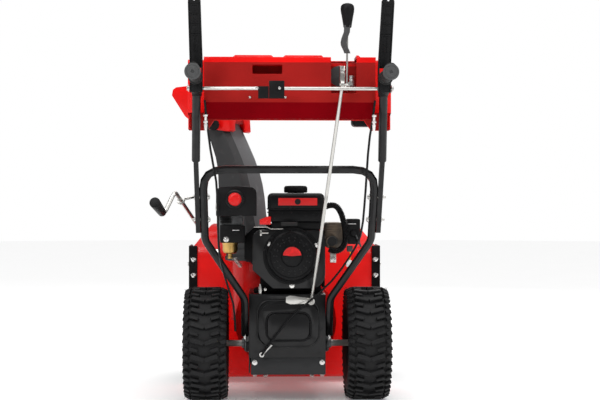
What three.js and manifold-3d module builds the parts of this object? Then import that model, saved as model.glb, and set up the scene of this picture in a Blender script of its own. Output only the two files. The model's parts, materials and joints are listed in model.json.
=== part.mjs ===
// Two-stage walk-behind snow blower with a 24 inch intake and a 212 cc class engine.
// Millimetres. X is to the operator's right, Y is the direction of travel, Z is up.
import * as THREE from 'three';
import { mergeVertices } from 'three/addons/utils/BufferGeometryUtils.js';
import Module from 'manifold-3d';

const wasm = await Module();
wasm.setup();

// ---- Driving dimensions -------------------------------------------------------------------
const TYRE = { radius: 165, width: 126, centreX: 235, rimRadius: 76 };
const AXLE = { z: 165, radius: 9.5, halfLength: 300 };
const HOUSING = { halfWidth: 302, top: 505, shoulder: 424, topHalf: 238, back: 300, front: 600 };
const SHEET = 3;
const GAP = 0.4;
const DRUM = { z: 215, radius: 155, back: 134, wall: 3 };
const NECK = { x: -100, y: 206, radius: 70, top: 400 };
const AUGER = { y: 462, z: 187, radius: 150, pipe: 19 };
const IMPELLER = { radius: 146, shaft: 10 };
const CASE = { halfWidth: 110, back: -97, front: 133.6, bottom: 90, top: 316 };
const CRANK = { x: 13, z: 427 };
const SHROUD = { back: -116, front: -32, left: -99, right: 108, bottom: 320, top: 500 };
const TUBE = 11;
const HANDLE = { lowerX: 229, upperX: 238, slope: 0.6, y0: -95, z0: 250, barZ: 667, bendZ: 476,
  flatTop: 690 };
const PIVOT = { y: -496, z: 868, rod: 4.5 };
const CONSOLE = { half: 265, narrow: 222, top: 955, back: -438, front: -345, lip: 797, chin: 838 };
const CHUTE = { turn: 60 };
const SHIFT = { y: -395, z: 880, arm: 75 };
const ARM = { x: 8, z: 301, y: -103.5, length: 60 };

const handleY = (z) => HANDLE.y0 - HANDLE.slope * (z - HANDLE.z0);

// ---- Finishes -----------------------------------------------------------------------------
const finish = (color, roughness, metalness) =>
  new THREE.MeshStandardMaterial({ color, roughness, metalness });
const red = finish(0xc40d14, 0.35, 0.1);
const black = finish(0x161616, 0.45, 0.2);
const plastic = finish(0x1b1b1b, 0.6, 0);
const chutePlastic = finish(0x363636, 0.5, 0);
const rubber = finish(0x1a1a1a, 0.8, 0);
const zinc = finish(0xb9b9b4, 0.35, 0.9);
const aluminium = finish(0x8c8f90, 0.5, 0.8);
const redPlastic = finish(0xe01818, 0.4, 0);

// ---- Shape helpers ------------------------------------------------------------------------
const V = (x, y, z) => new THREE.Vector3(x, y, z);

function outline(points) {
  return new THREE.Shape(points.map(([u, v]) => new THREE.Vector2(u, v)));
}

function extrude(shape, depth) {
  return new THREE.ExtrudeGeometry(shape, { depth, bevelEnabled: false, curveSegments: 6 });
}

// Outline in (y, z), pulled along X.
function alongX(points, x0, x1) {
  const turn = new THREE.Matrix4().makeBasis(V(0, 1, 0), V(0, 0, 1), V(1, 0, 0));
  return extrude(outline(points), x1 - x0).applyMatrix4(turn).translate(x0, 0, 0);
}

// Outline in (x, z), pulled along Y.
function alongY(points, y0, y1) {
  const turn = new THREE.Matrix4().makeBasis(V(1, 0, 0), V(0, 0, 1), V(0, -1, 0));
  return extrude(outline(points), y1 - y0).applyMatrix4(turn).translate(0, y1, 0);
}

// Outline in (x, y), pulled along Z.
function alongZ(points, z0, z1) {
  return extrude(outline(points), z1 - z0).translate(0, 0, z0);
}

function block(x0, x1, y0, y1, z0, z1) {
  const shape = new THREE.BoxGeometry(x1 - x0, y1 - y0, z1 - z0);
  return shape.translate((x0 + x1) / 2, (y0 + y1) / 2, (z0 + z1) / 2);
}

function rod(start, end, radius, sides = 12, endRadius = radius) {
  const way = end.clone().sub(start);
  const shape = new THREE.CylinderGeometry(endRadius, radius, way.length(), sides);
  const turn = new THREE.Quaternion().setFromUnitVectors(V(0, 1, 0), way.clone().normalize());
  const middle = start.clone().add(end).multiplyScalar(0.5);
  return shape.applyQuaternion(turn).translate(middle.x, middle.y, middle.z);
}

// A lathe whose profile is (radius, along) pairs, with its axis through `at` along X, Y or Z.
function turned(profile, axis, at, sides = 24) {
  const points = profile.map(([r, a]) => new THREE.Vector2(r, a));
  const shape = new THREE.LatheGeometry(points, sides);
  if (axis === 'x') shape.rotateZ(-Math.PI / 2);
  if (axis === 'z') shape.rotateX(Math.PI / 2);
  return shape.translate(at.x, at.y, at.z);
}

function ring(axis, at, inner, outer, from, to, sides = 24) {
  const wall = [[inner, from], [outer, from], [outer, to], [inner, to], [inner, from]];
  return turned(wall, axis, at, sides);
}

function disc(axis, at, radius, from, to, sides = 24) {
  return turned([[0, from], [radius, from], [radius, to], [0, to]], axis, at, sides);
}

function roundedRect(x0, x1, z0, z1, radius, steps = 3) {
  const corners = [[x1 - radius, z0 + radius], [x1 - radius, z1 - radius],
    [x0 + radius, z1 - radius], [x0 + radius, z0 + radius]];
  const points = [];
  corners.forEach(([cx, cz], k) => {
    for (let i = 0; i <= steps; i += 1) {
      const angle = (k - 1 + i / steps) * Math.PI / 2;
      points.push([cx + radius * Math.cos(angle), cz + radius * Math.sin(angle)]);
    }
  });
  return points;
}

function arc(cx, cz, radius, fromDegrees, toDegrees, steps) {
  const points = [];
  for (let i = 0; i <= steps; i += 1) {
    const angle = THREE.MathUtils.degToRad(fromDegrees + (toDegrees - fromDegrees) * i / steps);
    points.push([cx + radius * Math.cos(angle), cz + radius * Math.sin(angle)]);
  }
  return points;
}

// A path that visits its own points, one step of an extrusion between two of them.
class Route extends THREE.Curve {
  constructor(points) {
    super();
    this.points = points;
  }

  getPointAt(u) {
    return this.points[Math.round(u * (this.points.length - 1))].clone();
  }

  getTangentAt(u) {
    const i = Math.round(u * (this.points.length - 1));
    const before = this.points[Math.max(i - 1, 0)];
    const after = this.points[Math.min(i + 1, this.points.length - 1)];
    return after.clone().sub(before).normalize();
  }
}

// Corner points with each inner corner rounded to the given bend radius.
function bent(corners, radius, steps = 4) {
  const points = [corners[0]];
  for (let i = 1; i < corners.length - 1; i += 1) {
    const back = corners[i - 1].clone().sub(corners[i]).normalize();
    const on = corners[i + 1].clone().sub(corners[i]).normalize();
    const half = (Math.PI - back.angleTo(on)) / 2;
    const reach = radius * Math.tan(half);
    const start = corners[i].clone().addScaledVector(back, reach);
    const end = corners[i].clone().addScaledVector(on, reach);
    points.push(...new THREE.QuadraticBezierCurve3(start, corners[i], end).getPoints(steps));
  }
  return [...points, corners[corners.length - 1]];
}

function tube(points, radius, sides = 10) {
  const circle = outline(arc(0, 0, radius, 0, 360 - 360 / sides, sides - 1));
  const extrudePath = new Route(points);
  return new THREE.ExtrudeGeometry(circle, { steps: points.length - 1, extrudePath });
}

function smooth(points, steps) {
  return new THREE.CatmullRomCurve3(points, false, 'centripetal').getSpacedPoints(steps);
}

function solid(geometry) {
  const bare = geometry.clone();
  bare.deleteAttribute('normal');
  bare.deleteAttribute('uv');
  const merged = mergeVertices(bare.index ? bare.toNonIndexed() : bare, 1e-3);
  const vertProperties = new Float32Array(merged.attributes.position.array);
  const triVerts = new Uint32Array(merged.index.array);
  return new wasm.Manifold(new wasm.Mesh({ numProp: 3, vertProperties, triVerts }));
}

function geometryOf(body) {
  const mesh = body.getMesh();
  const shape = new THREE.BufferGeometry();
  shape.setAttribute('position', new THREE.BufferAttribute(mesh.vertProperties, 3));
  shape.setIndex(new THREE.BufferAttribute(mesh.triVerts, 1));
  return shape;
}

const union = (shapes) => shapes.map(solid).reduce((sum, next) => sum.add(next));

function join(...shapes) {
  return geometryOf(union(shapes));
}

function cut(base, ...tools) {
  return geometryOf(solid(base).subtract(union(tools)));
}

function meet(first, second) {
  return geometryOf(solid(first).intersect(solid(second)));
}

const machine = new THREE.Group();

function add(name, geometry, material, group = machine) {
  const mesh = new THREE.Mesh(geometry, material);
  mesh.name = name;
  group.add(mesh);
  return mesh;
}

const sides = [['left', -1], ['right', 1]];

// ---- Auger housing: bent barrel, impeller drum and chute neck, welded into one ------------
function augerHousing() {
  const { halfWidth, top, shoulder, topHalf, back, front } = HOUSING;
  const rear = (inset) => [
    [back + inset, 72], [back + inset, top - 100], ...arc(back + 100, top - 100, 100 - inset, 180, 90,
        5).slice(1)];
  const foot = (inset) => arc(back + 60, 72, 60 - inset, 270, 180, 4).slice(0, -1);
  const outerSide = [[560, 12], ...foot(0), ...rear(0), [front, top]].reverse();
  const innerSide = [[700, 15], ...foot(SHEET), ...rear(SHEET), [700, top - SHEET]].reverse();
  const outerRear = [[-halfWidth, 0], [halfWidth, 0], [halfWidth, shoulder], [topHalf, top],
    [topHalf, 540], [-topHalf, 540], [-topHalf, top], [-halfWidth, shoulder]];
  const slope = (top - shoulder) / (halfWidth - topHalf);
  const inner = (x) => shoulder - 1.9 - (x - (halfWidth - 2.4)) * slope;
  const innerRear = [[-340, -20], [340, -20], [340, inner(340)], [topHalf - 4, inner(topHalf - 4)],
    [-topHalf + 4, inner(topHalf - 4)], [-340, inner(340)]];
  const barrel = solid(meet(alongX(outerSide, -halfWidth, halfWidth), alongY(outerRear, 200, 640)));
  const room = solid(meet(alongX(innerSide, -345, 345), alongY(innerRear, 200, 720)));
  const axis = V(0, 0, DRUM.z);
  const neckAt = V(NECK.x, NECK.y, 0);
  const wall = DRUM.wall;
  const drum = union([disc('y', axis, DRUM.radius, DRUM.back, back + 1.5, 32),
    disc('z', neckAt, NECK.radius, DRUM.z, NECK.top, 28),
    disc('z', neckAt, NECK.radius + 12, NECK.top - wall, NECK.top, 28)]);
  const bore = union([disc('y', axis, DRUM.radius - wall, DRUM.back + wall, back + 10, 32),
    disc('z', neckAt, NECK.radius - wall, DRUM.z + wall, NECK.top + 5, 28),
    disc('y', axis, IMPELLER.shaft + 3, DRUM.back - 5, back, 16)]);
  return geometryOf(barrel.subtract(room).add(drum).subtract(bore));
}
add('auger_housing', augerHousing(), red);

// End plates with a rear flange bolted behind the barrel.
function endPlate(side) {
  const inside = HOUSING.halfWidth + GAP;
  const plate = [[292, 40], [320, 12], [560, 12], [HOUSING.front, 60], [HOUSING.front + 12, 300],
    [HOUSING.front, HOUSING.shoulder], [430, 440], [292, 440]].reverse();
  const sheet = side < 0 ? alongX(plate, -inside - SHEET, -inside) : alongX(plate, inside, inside + SHEET);
  const flangeBack = HOUSING.back - SHEET - GAP;
  const flange = side < 0 ? block(-inside - 1, -279, flangeBack, flangeBack + SHEET, 120, 440)
    : block(279, inside + 1, flangeBack, flangeBack + SHEET, 120, 440);
  const bearing = disc('x', V(0, AUGER.y, AUGER.z), 34, -6, 6, 20).translate(side * (inside + 1.5 + 6), 0, 0);
  const bore = disc('x', V(side * inside, AUGER.y, AUGER.z), AUGER.pipe - 6, -30, 30, 16);
  return cut(join(sheet, flange, bearing), bore);
}
sides.forEach(([word, side]) => add(`end_plate_${word}`, endPlate(side), black));

function scraperBar() {
  const profile = [[480, 4], [575, 4], [582, 7], [575, 11.4], [480, 11.4]];
  return alongX(profile, -296, 296);
}
add('scraper_bar', scraperBar(), black);

// Skid shoe: an L with an upturned nose and two adjusting slots.
function skidShoe(side) {
  const near = HOUSING.halfWidth + GAP + SHEET + GAP;
  const far = near + 4;
  const face = [[350, 20], [365, 2], [505, 2], [545, 28], [545, 34], [500, 84], [375, 84], [350, 60]];
  const plate = alongX(face, near, far);
  const sole = alongX([[352, 18], [366, 0], [506, 0], [546, 27], [543, 31], [504, 5], [368, 5], [356, 20]],
    near, near + 22);
  const slots = [400, 470].map((y) => block(near - 5, far + 5, y - 5, y + 5, 38, 68));
  const shoe = cut(join(plate, sole), ...slots);
  return side > 0 ? shoe : geometryOf(solid(shoe).mirror([1, 0, 0]));
}
sides.forEach(([word, side]) => add(`skid_shoe_${word}`, skidShoe(side), black));

// ---- Tractor case -------------------------------------------------------------------------
function tractorCase() {
  const { halfWidth, back, front, bottom, top } = CASE;
  const shell = block(-halfWidth, halfWidth, back, front, bottom, top);
  const room = block(-halfWidth + SHEET, halfWidth - SHEET, back - 5, front - SHEET, bottom - 5, top - SHEET);
  const axleBore = disc('x', V(0, 0, AXLE.z), AXLE.radius + 2, -150, 150, 16);
  const shaftBore = disc('y', V(0, 0, DRUM.z), IMPELLER.shaft + 3, 120, 150, 16);
  const beltSlot = block(-30, 60, 92, 132, top - 10, top + 10);
  const bearings = [-1, 1].map((side) => disc('x', V(side * (halfWidth + 4), 0, AXLE.z), 26, -5, 5, 20));
  return cut(join(shell, ...bearings), room, axleBore, shaftBore, beltSlot);
}
add('tractor_case', tractorCase(), black);

function rearCover() {
  const back = CASE.back - GAP - SHEET;
  const plate = block(-108, 110, back, back + SHEET, 134, 315);
  const centreX = 5;
  const ridge = cut(alongY(roundedRect(centreX - 88, centreX + 88, 165, 291, 44), back - 4, back + 1),
    alongY(roundedRect(centreX - 64, centreX + 64, 186, 266, 30), back - 10, back + 0.5));
  return cut(join(plate, ridge), disc('y', V(ARM.x, 0, ARM.z), 6, back - 10, back + 10, 12));
}
add('rear_cover', rearCover(), black);

function bottomPlate() {
  const back = CASE.back - GAP - SHEET;
  const profile = [[back, 133.6], [back, 86], [130, 86], [130, 89.4], [back + SHEET, 89.4],
    [back + SHEET, 133.6]];
  return alongX(profile, -104, 110);
}
add('bottom_plate', bottomPlate(), finish(0x303030, 0.5, 0.2));

function beltCover() {
  const foot = CASE.top + GAP;
  const side = [[-42, foot], [68, foot], [72, 440], [58, 470], [-32, 470], [-46, 440]];
  const inner = [[-39, foot - 5], [65, foot - 5], [69, 438], [56, 467], [-30, 467], [-43, 438]];
  const crankHole = disc('y', V(CRANK.x, 0, CRANK.z), 24, 60, 100, 20);
  return cut(alongY(side, 80, 130), alongY(inner, 83, 127), crankHole);
}
add('belt_cover', beltCover(), plastic);

// ---- Handles ------------------------------------------------------------------------------
function lowerHandle() {
  const { lowerX, barZ, bendZ } = HANDLE;
  const at = (x, z) => V(x, handleY(z), z);
  const narrow = CASE.halfWidth + TUBE + GAP;
  const half = [V(narrow, -62, 196), at(narrow, 306), at(lowerX, bendZ), at(lowerX, barZ)];
  const mirror = half.map((p) => V(-p.x, p.y, p.z)).reverse();
  return tube(bent([...half, ...mirror], 60, 4), TUBE, 8);
}
add('lower_handle', lowerHandle(), black);

// Upper handle: flattened and bolted below, bent back to the grip above.
function upperPath(side) {
  const flatX = side * (HANDLE.lowerX + TUBE + GAP + 6);
  const x = side * HANDLE.upperX;
  const start = V(flatX, handleY(HANDLE.flatTop), HANDLE.flatTop);
  return bent([start, V(x, handleY(888), 888), V(x, PIVOT.y - 148, 902)], 40, 5);
}

function upperHandle(side) {
  const flatX = side * (HANDLE.lowerX + TUBE + GAP + 6);
  const low = V(flatX, handleY(496), 496);
  const start = V(flatX, handleY(HANDLE.flatTop), HANDLE.flatTop);
  const path = upperPath(side);
  const flat = alongX([[low.y - 12, low.z], [low.y + 17, low.z], [start.y + 13, start.z],
    [start.y - 7, start.z + 28], [start.y - 17, start.z + 28], [start.y - 13, start.z]].reverse(),
  Math.min(flatX - 6, flatX + 6), Math.max(flatX - 6, flatX + 6));
  return join(tube(path, TUBE), flat);
}
sides.forEach(([word, side]) => add(`upper_handle_${word}`, upperHandle(side), black));

function grip(side) {
  const x = side * HANDLE.upperX;
  const end = V(x, PIVOT.y - 154, 902.5);
  const start = V(x, PIVOT.y - 34, 892.4);
  const way = end.clone().sub(start).normalize();
  const sleeve = rod(start, end, 15.2, 12);
  const flange = rod(start, start.clone().addScaledVector(way, 5), 18.5, 16);
  const bore = rod(start.clone().addScaledVector(way, -20), end.clone().addScaledVector(way, -5),
      TUBE + GAP, 16);
  return cut(join(sleeve, flange), bore);
}
sides.forEach(([word, side]) => add(`grip_${word}`, grip(side), rubber));

// Lever bracket: a clamp on the tube with a lug that carries the interlock rod.
function leverBracket(side) {
  const x = side * HANDLE.upperX;
  const body = alongX([[-505, 858], [-462, 850], [-452, 872], [-466, 902], [-486, 906], [-507,
      880]].reverse(),
    x - 12.2, x + 12.2);
  const bore = disc('x', V(x, PIVOT.y, PIVOT.z), PIVOT.rod + GAP, -30, 30, 16);
  const wide = tube(upperPath(side), TUBE + GAP, 10);
  return cut(body, wide, bore);
}
sides.forEach(([word, side]) => add(`lever_bracket_${word}`, leverBracket(side), plastic));

// ---- Console ------------------------------------------------------------------------------
function consoleShell() {
  const { half, narrow, top, back, front, lip, chin } = CONSOLE;
  const step = -404;
  const leg = 770;
  const body = alongX([[back, top], [back + 2, chin], [step, lip], [front, lip], [front, top]],
    -narrow, narrow);
  const wide = alongX([[step, top - 4], [step, 812], [front, lip], [front, top - 4]], -half, half);
  const legs = [-1, 1].map((side) => alongY(side < 0
    ? [[-half, leg], [-half + 48, leg], [-half + 68, lip + 2], [-half + 68, 850], [-half, 850]]
    : [[half - 48, leg], [half, leg], [half, 850], [half - 68, 850], [half - 68, lip + 2]], step + 16,
        front));
  const raised = [[-150, -40], [-20, 90], [120, 186]].map(([a, b]) =>
    alongY([[a, top - 1], [b, top - 1], [b - 8, top + 6], [a + 8, top + 6]], back + 12, front - 12));
  const t = SHEET;
  const bodyRoom = alongX([[back + t, top - t], [back + 2 + t, chin + 1], [step + 1, lip + t + 1.5],
    [step + 1, leg - 20], [front - t, leg - 20], [front - t, top - t]], -narrow + t, narrow - t);
  const wideRoom = block(-half + t, half - t, step + t, front - t, leg - 20, top - 4 - t);
  const slot = block(106, 172, back - 10, -352, 862, top + 10);
  const pocket = block(-97, -20, back - 10, back + 10, 911, 934);
  return cut(join(body, wide, ...legs, ...raised), bodyRoom, wideRoom, slot, pocket);
}
add('console', consoleShell(), red);

function headlight() {
  const lamp = alongY(roundedRect(168, 262, 783, 842, 10), -338, -290);
  const bowl = alongY(roundedRect(174, 256, 789, 836, 8), -304, -280);
  const bracket = block(196, 210, CONSOLE.front + GAP, -336, 800, 830);
  return cut(join(lamp, bracket), bowl);
}
add('headlight', headlight(), plastic);

// Eye bolt on the left handle that guides the chute crank.
const CRANK_EYE = V(-289, -328, 586);
const CRANK_END = V(-205.5, 240, 403);
const crankWay = CRANK_END.clone().sub(CRANK_EYE).normalize();
function crankBracket() {
  const stem = rod(V(-255, handleY(594), 594), CRANK_EYE.clone().add(V(9, 0, 2)), 3.5, 10);
  const reach = crankWay.clone().multiplyScalar(3.5);
  const eye = rod(CRANK_EYE.clone().sub(reach), CRANK_EYE.clone().add(reach), 12, 16);
  const bore = rod(CRANK_EYE.clone().addScaledVector(crankWay, -20),
      CRANK_EYE.clone().addScaledVector(crankWay, 20), 7.5, 16);
  return cut(join(stem, eye), bore);
}
add('crank_bracket', crankBracket(), zinc);

// ---- Engine -------------------------------------------------------------------------------
function engineBlock() {
  const base = CASE.top + GAP;
  const back = SHROUD.front + GAP;
  const crankcase = block(-78, 100, back, 76, base + 2, 452);
  const foot = block(-96, 104, back + 6, 70, base, base + 8);
  const cylinder = alongY([[-124, 414], [-60, 372], [-20, 440], [-20, 506], [-96, 506], [-124, 480]],
      back + 2, 64);
  const tankPlate = block(-60, 96, back + 2, 60, 445, 516);
  const bore = disc('y', V(CRANK.x, 0, CRANK.z), 14, -200, 120, 20);
  return cut(join(crankcase, foot, cylinder, tankPlate), bore);
}
add('engine_block', engineBlock(), finish(0x1c1c1c, 0.55, 0.4));

const shroudOutline = (inset) => {
  const { left, right, bottom, top } = SHROUD;
  return [[left + 58, bottom + 14 + inset], [right - 40, bottom + 14 + inset],
    ...arc(right - 40, bottom + 54, 40 - inset, -60, 0, 3),
    ...arc(right - 26, top - 26, 26 - inset, 0, 90, 3), ...arc(left + 24, top - 24, 24 - inset, 90, 180, 3),
    [left + inset, 386 + inset / 2]];
};

function fanShroud() {
  const { back, front } = SHROUD;
  const shell = alongY(shroudOutline(0), back, front);
  const room = alongY(shroudOutline(SHEET), back + SHEET, front + 10);
  return cut(shell, room, disc('y', V(CRANK.x, 0, CRANK.z), 50, back - 5, back + 10, 20));
}
add('fan_shroud', fanShroud(), black);

function recoilCover() {
  const at = V(CRANK.x, 0, CRANK.z);
  const mount = SHROUD.back - GAP;
  const profile = [[0, mount - 21], [56, mount - 21], [60, mount - 17], [62, mount - 10], [78, mount - 8],
    [82, mount - 4], [82, mount], [74, mount], [57, mount - 7], [54, mount - 17], [0, mount - 17]];
  return turned(profile, 'y', at, 26);
}
add('recoil_cover', recoilCover(), black);

const TANK_SHIFT = 80;
function fuelTank() {
  const upper = alongX([[-190, 566], [-184, 598], [-170, 606], [-48, 606], [-34, 598], [-30,
      566]].reverse(), -50, 100);
  const lower = alongX([[-188, 566], [-180, 530], [-166, 523], [-54, 523], [-40, 530], [-32, 566]], -50, 100);
  const seam = alongZ(roundedRect(-56, 106, -194, -26, 18), 563, 568);
  const neck = disc('z', V(26, -110, 0), 24, 600, 612, 20);
  const room = block(-44, 94, -178, -42, 530, 600);
  const filler = disc('z', V(26, -110, 0), 19, 590, 620, 20);
  return cut(join(upper, lower, seam, neck), room, filler).translate(0, TANK_SHIFT, 0);
}
add('fuel_tank', fuelTank(), plastic);

const cap = [[0, 612.4], [34, 612.4], [34, 625], [31, 628], [0, 628]];
add('fuel_cap', turned(cap, 'z', V(26, -110 + TANK_SHIFT, 0), 24), plastic);

function carburettor() {
  const body = block(-200, -128, -160, -100, 470, 540);
  const bowl = turned([[0, 430], [12, 430], [14, 438], [20.5, 441], [20.5, 462], [16, 472], [0, 472]], 'z',
    V(-165, -138, 0), 20);
  const intake = disc('x', V(0, -120, 492), 18, -132, -124.8, 16);
  return join(body, bowl, intake).translate(0, 110, 0);
}
add('carburettor', carburettor(), aluminium);

const PRIMER = V(-150, -95, 588);
function carburettorCover() {
  const top = (inset) => [[-204 + inset, 540.4], [-88 - inset, 540.4], [-88 - inset, 606],
    ...arc(-106, 606, 18 - inset, 0, 75, 3), [-146, 626 - inset], ...arc(-186, 606, 18 - inset, 105, 180, 3)];
  const shell = alongY(top(0), PRIMER.y, 12);
  const room = alongY(top(SHEET).map(([x, z]) => [x, z < 545 ? 530 : z]), PRIMER.y + SHEET, 15);
  const collar = disc('y', V(PRIMER.x, 0, PRIMER.z), 27, PRIMER.y - 5, PRIMER.y + 1, 24);
  const hole = disc('y', V(PRIMER.x, 0, PRIMER.z), 20.5, PRIMER.y - 10, PRIMER.y + 10, 24);
  return cut(join(shell, collar), room, hole);
}
add('carburettor_cover', carburettorCover(), plastic);

const bulb = [[0, -13], [10, -11], [16, -7], [19.5, 0], [19.5, 8], [0, 8]];
add('primer_bulb', turned(bulb, 'y', PRIMER, 24), redPlastic);

function throttleLever() {
  const paddle = alongY([[-79, 524], [-47, 524], [-47, 547], [-58, 547], [-79, 538]], -204, -198);
  const web = block(-60, -54, -199, -150, 527, 532);
  return join(paddle, web);
}
add('throttle_lever', throttleLever().translate(0, 82, -8), redPlastic);

function recoilHandle() {
  const bar = rod(V(-18, -212, 501), V(28, -212, 501), 6, 10);
  const stem = rod(V(5, -212, 501), V(5, -199, 501), 4, 8);
  return join(bar, stem);
}
add('recoil_handle', recoilHandle().translate(0, 76, 17), rubber);

function muffler() {
  const body = alongY(roundedRect(110, 170, 446, 520, 12), -50, 70);
  const outlet = disc('y', V(130, 0, 466), 17, -64, -44, 20);
  const mouth = disc('y', V(130, 0, 466), 13, -80, -20, 20);
  const bridge = block(100.4, 111, -20, 40, 470, 500);
  return cut(join(body, outlet, bridge), mouth);
}
add('muffler', muffler(), finish(0x77797a, 0.5, 0.8));

function starterBox() {
  const body = alongY(roundedRect(175, 212, 458, 531, 4), -66, 0);
  const well = disc('y', V(193, 0, 490), 9.5, -80, -52, 20);
  const tie = block(170.4, 176, -40, -10, 480, 500);
  return cut(join(body, tie), well);
}
add('starter_box', starterBox(), plastic);
add('starter_button', disc('y', V(193, 0, 490), 8.5, -72, -60, 20), redPlastic);

const conduitRoute = [V(109, -84, 566), V(124, -84, 571), V(141, -84, 568), V(155, -84, 548), V(163, -84,
    520),
  V(168, -84, 486), V(166, -84, 462), V(156, -84, 446), V(140, -84, 439), V(121, -82, 444)];
add('starter_conduit', tube(smooth(conduitRoute, 18), 9, 8), plastic);

// ---- Running gear -------------------------------------------------------------------------
function axle() {
  const shaft = rod(V(-AXLE.halfLength, 0, AXLE.z), V(AXLE.halfLength, 0, AXLE.z), AXLE.radius, 16);
  const sprocket = disc('x', V(0, 0, AXLE.z), 54, 84, 90, 20);
  return join(shaft, sprocket);
}
add('axle', axle(), zinc);

function rim(side) {
  const inner = TYRE.rimRadius;
  const wall = [[inner - 5, -44], [inner - 1, -44], [inner - 1, 44], [inner - 5, 44], [inner - 5, -44]];
  const barrel = turned(wall, 'x', V(side * TYRE.centreX, 0, AXLE.z), 28);
  const web = ring('x', V(side * TYRE.centreX, 0, AXLE.z), AXLE.radius + GAP, inner - 3, -3, 3, 28);
  const hub = ring('x', V(side * TYRE.centreX, 0, AXLE.z), AXLE.radius + GAP, 22, -40, 40, 12);
  return join(barrel, web, hub);
}
sides.forEach(([word, side]) => add(`rim_${word}`, rim(side), finish(0xc8c8c8, 0.4, 0.3)));

function tyre(side) {
  const half = TYRE.width / 2;
  const bead = TYRE.rimRadius - 1 + GAP;
  const wall = [[bead, -40], [bead + 24, -54], [118, -half], [146, -half + 3], [159, -half + 14],
      [TYRE.radius, -34],
    [TYRE.radius, 34], [159, half - 14], [146, half - 3], [118, half], [bead + 24, 54], [bead, 40],
        [bead, -40]];
  return turned(wall, 'x', V(side * TYRE.centreX, 0, AXLE.z), 28);
}
sides.forEach(([word, side]) => add(`tyre_${word}`, tyre(side), rubber));

// ---- Impeller and augers ------------------------------------------------------------------
function impeller() {
  const axis = V(0, 0, DRUM.z);
  const shaft = rod(V(0, 90, DRUM.z), V(0, 452, DRUM.z), IMPELLER.shaft, 14);
  const hub = disc('y', axis, 26, 190, 285, 16);
  const pulley = turned([[0, 98], [78, 98], [68, 110], [78, 122], [0, 122]], 'y', axis, 20);
  const blades = [0, 1, 2, 3].map((k) => {
    const blade = block(-3, 3, 142, 290, 0, IMPELLER.radius);
    return blade.rotateY(k * Math.PI / 2).translate(0, 0, DRUM.z);
  });
  return join(shaft, hub, pulley, ...blades);
}
add('impeller', impeller(), red);

// A flat band wound round the auger shaft, its width pointing at the shaft.
class Winding extends Route {
  computeFrenetFrames(segments) {
    const frames = { tangents: [], normals: [], binormals: [] };
    for (let i = 0; i <= segments; i += 1) {
      const point = this.points[i];
      const tangent = this.getTangentAt(i / segments);
      const normal = V(0, point.y, point.z).normalize();
      frames.tangents.push(tangent);
      frames.normals.push(normal);
      frames.binormals.push(new THREE.Vector3().crossVectors(tangent, normal).normalize());
    }
    return frames;
  }
}

function auger(side) {
  const turns = 1.05;
  const [from, to] = [46, 288];
  const steps = 15;
  const band = outline([[-22, -2.5], [22, -2.5], [22, 2.5], [-22, 2.5]]);
  const ribbons = [0, Math.PI].map((phase) => {
    const points = [];
    for (let i = 0; i <= steps; i += 1) {
      const angle = phase + turns * 2 * Math.PI * i / steps;
      const radius = AUGER.radius - 22;
      points.push(V(side * (from + (to - from) * i / steps), radius * Math.cos(angle) * side,
          radius * Math.sin(angle)));
    }
    return new THREE.ExtrudeGeometry(band, { steps, extrudePath: new Winding(points) });
  });
  const struts = [0.16, 0.5, 0.84].map((part) => {
    const arm = block(-2.5, 2.5, -AUGER.radius + 30, AUGER.radius - 30, -11, 11);
    const x = side * (from + (to - from) * part);
    return arm.rotateX(side * turns * 2 * Math.PI * part).translate(x, 0, 0);
  });
  const pipe = disc('x', V(0, 0, 0), AUGER.pipe, side < 0 ? -298 : 37, side < 0 ? -37 : 298, 16);
  const shaft = disc('x', V(0, 0, 0), AUGER.pipe - 7, side < 0 ? -314 : 0.2, side < 0 ? -0.2 : 314, 14);
  return join(...ribbons, ...struts, pipe, shaft).translate(0, AUGER.y, AUGER.z);
}
sides.forEach(([word, side]) => add(`auger_${word}`, auger(side), red));

function augerGearbox() {
  const body = alongX([[424, 160], [440, 148], [486, 148], [502, 166], [502, 204], [474, 236], [400,
      236], [400, 196],
    [424, 190]], -30, 30);
  const crossBore = disc('x', V(0, AUGER.y, AUGER.z), AUGER.pipe - 6, -40, 40, 16);
  const wormBore = disc('y', V(0, 0, DRUM.z), IMPELLER.shaft + 1, 390, 456, 16);
  return cut(body, crossBore, wormBore);
}
add('auger_gearbox', augerGearbox(), finish(0x2a2a2a, 0.5, 0.6));

// ---- Drive inside the case ----------------------------------------------------------------
function crankshaft() {
  const at = V(CRANK.x, 0, CRANK.z);
  const shaft = disc('y', at, 12, -110, 124, 16);
  const flywheel = disc('y', at, 66, -100, -84, 20);
  const pulley = turned([[0, 96], [38, 96], [30, 108], [38, 120], [0, 120]], 'y', at, 24);
  return join(shaft, flywheel, pulley);
}
add('crankshaft', crankshaft(), zinc);

const DISC = V(0, 0, 236);
const driveDisc = [[0, 20], [70, 20], [70, 26], [44, 26], [36, 34], [44, 42], [0, 42]];
add('drive_disc', turned(driveDisc, 'y', DISC, 20), aluminium);

function frictionWheel() {
  const y = 20 - GAP - 58;
  return join(ring('x', V(0, y, DISC.z), 10, 58, -8, 8, 20), ring('x', V(0, y, DISC.z), 10, 20, -24, 24, 16));
}
add('friction_wheel', frictionWheel(), rubber);

// ---- Clutch levers and their interlock rods -----------------------------------------------
const LEAN = THREE.MathUtils.degToRad(31);

// (u, w): u runs up the lever from the pivot, w stands off it towards the machine.
function leverSide(points, x0, x1) {
  const turnedPoints = points.map(([u, w]) => [
    PIVOT.y - u * Math.sin(LEAN) + w * Math.cos(LEAN), PIVOT.z + u * Math.cos(LEAN) + w * Math.sin(LEAN)]);
  return alongX(turnedPoints, x0, x1);
}

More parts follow.
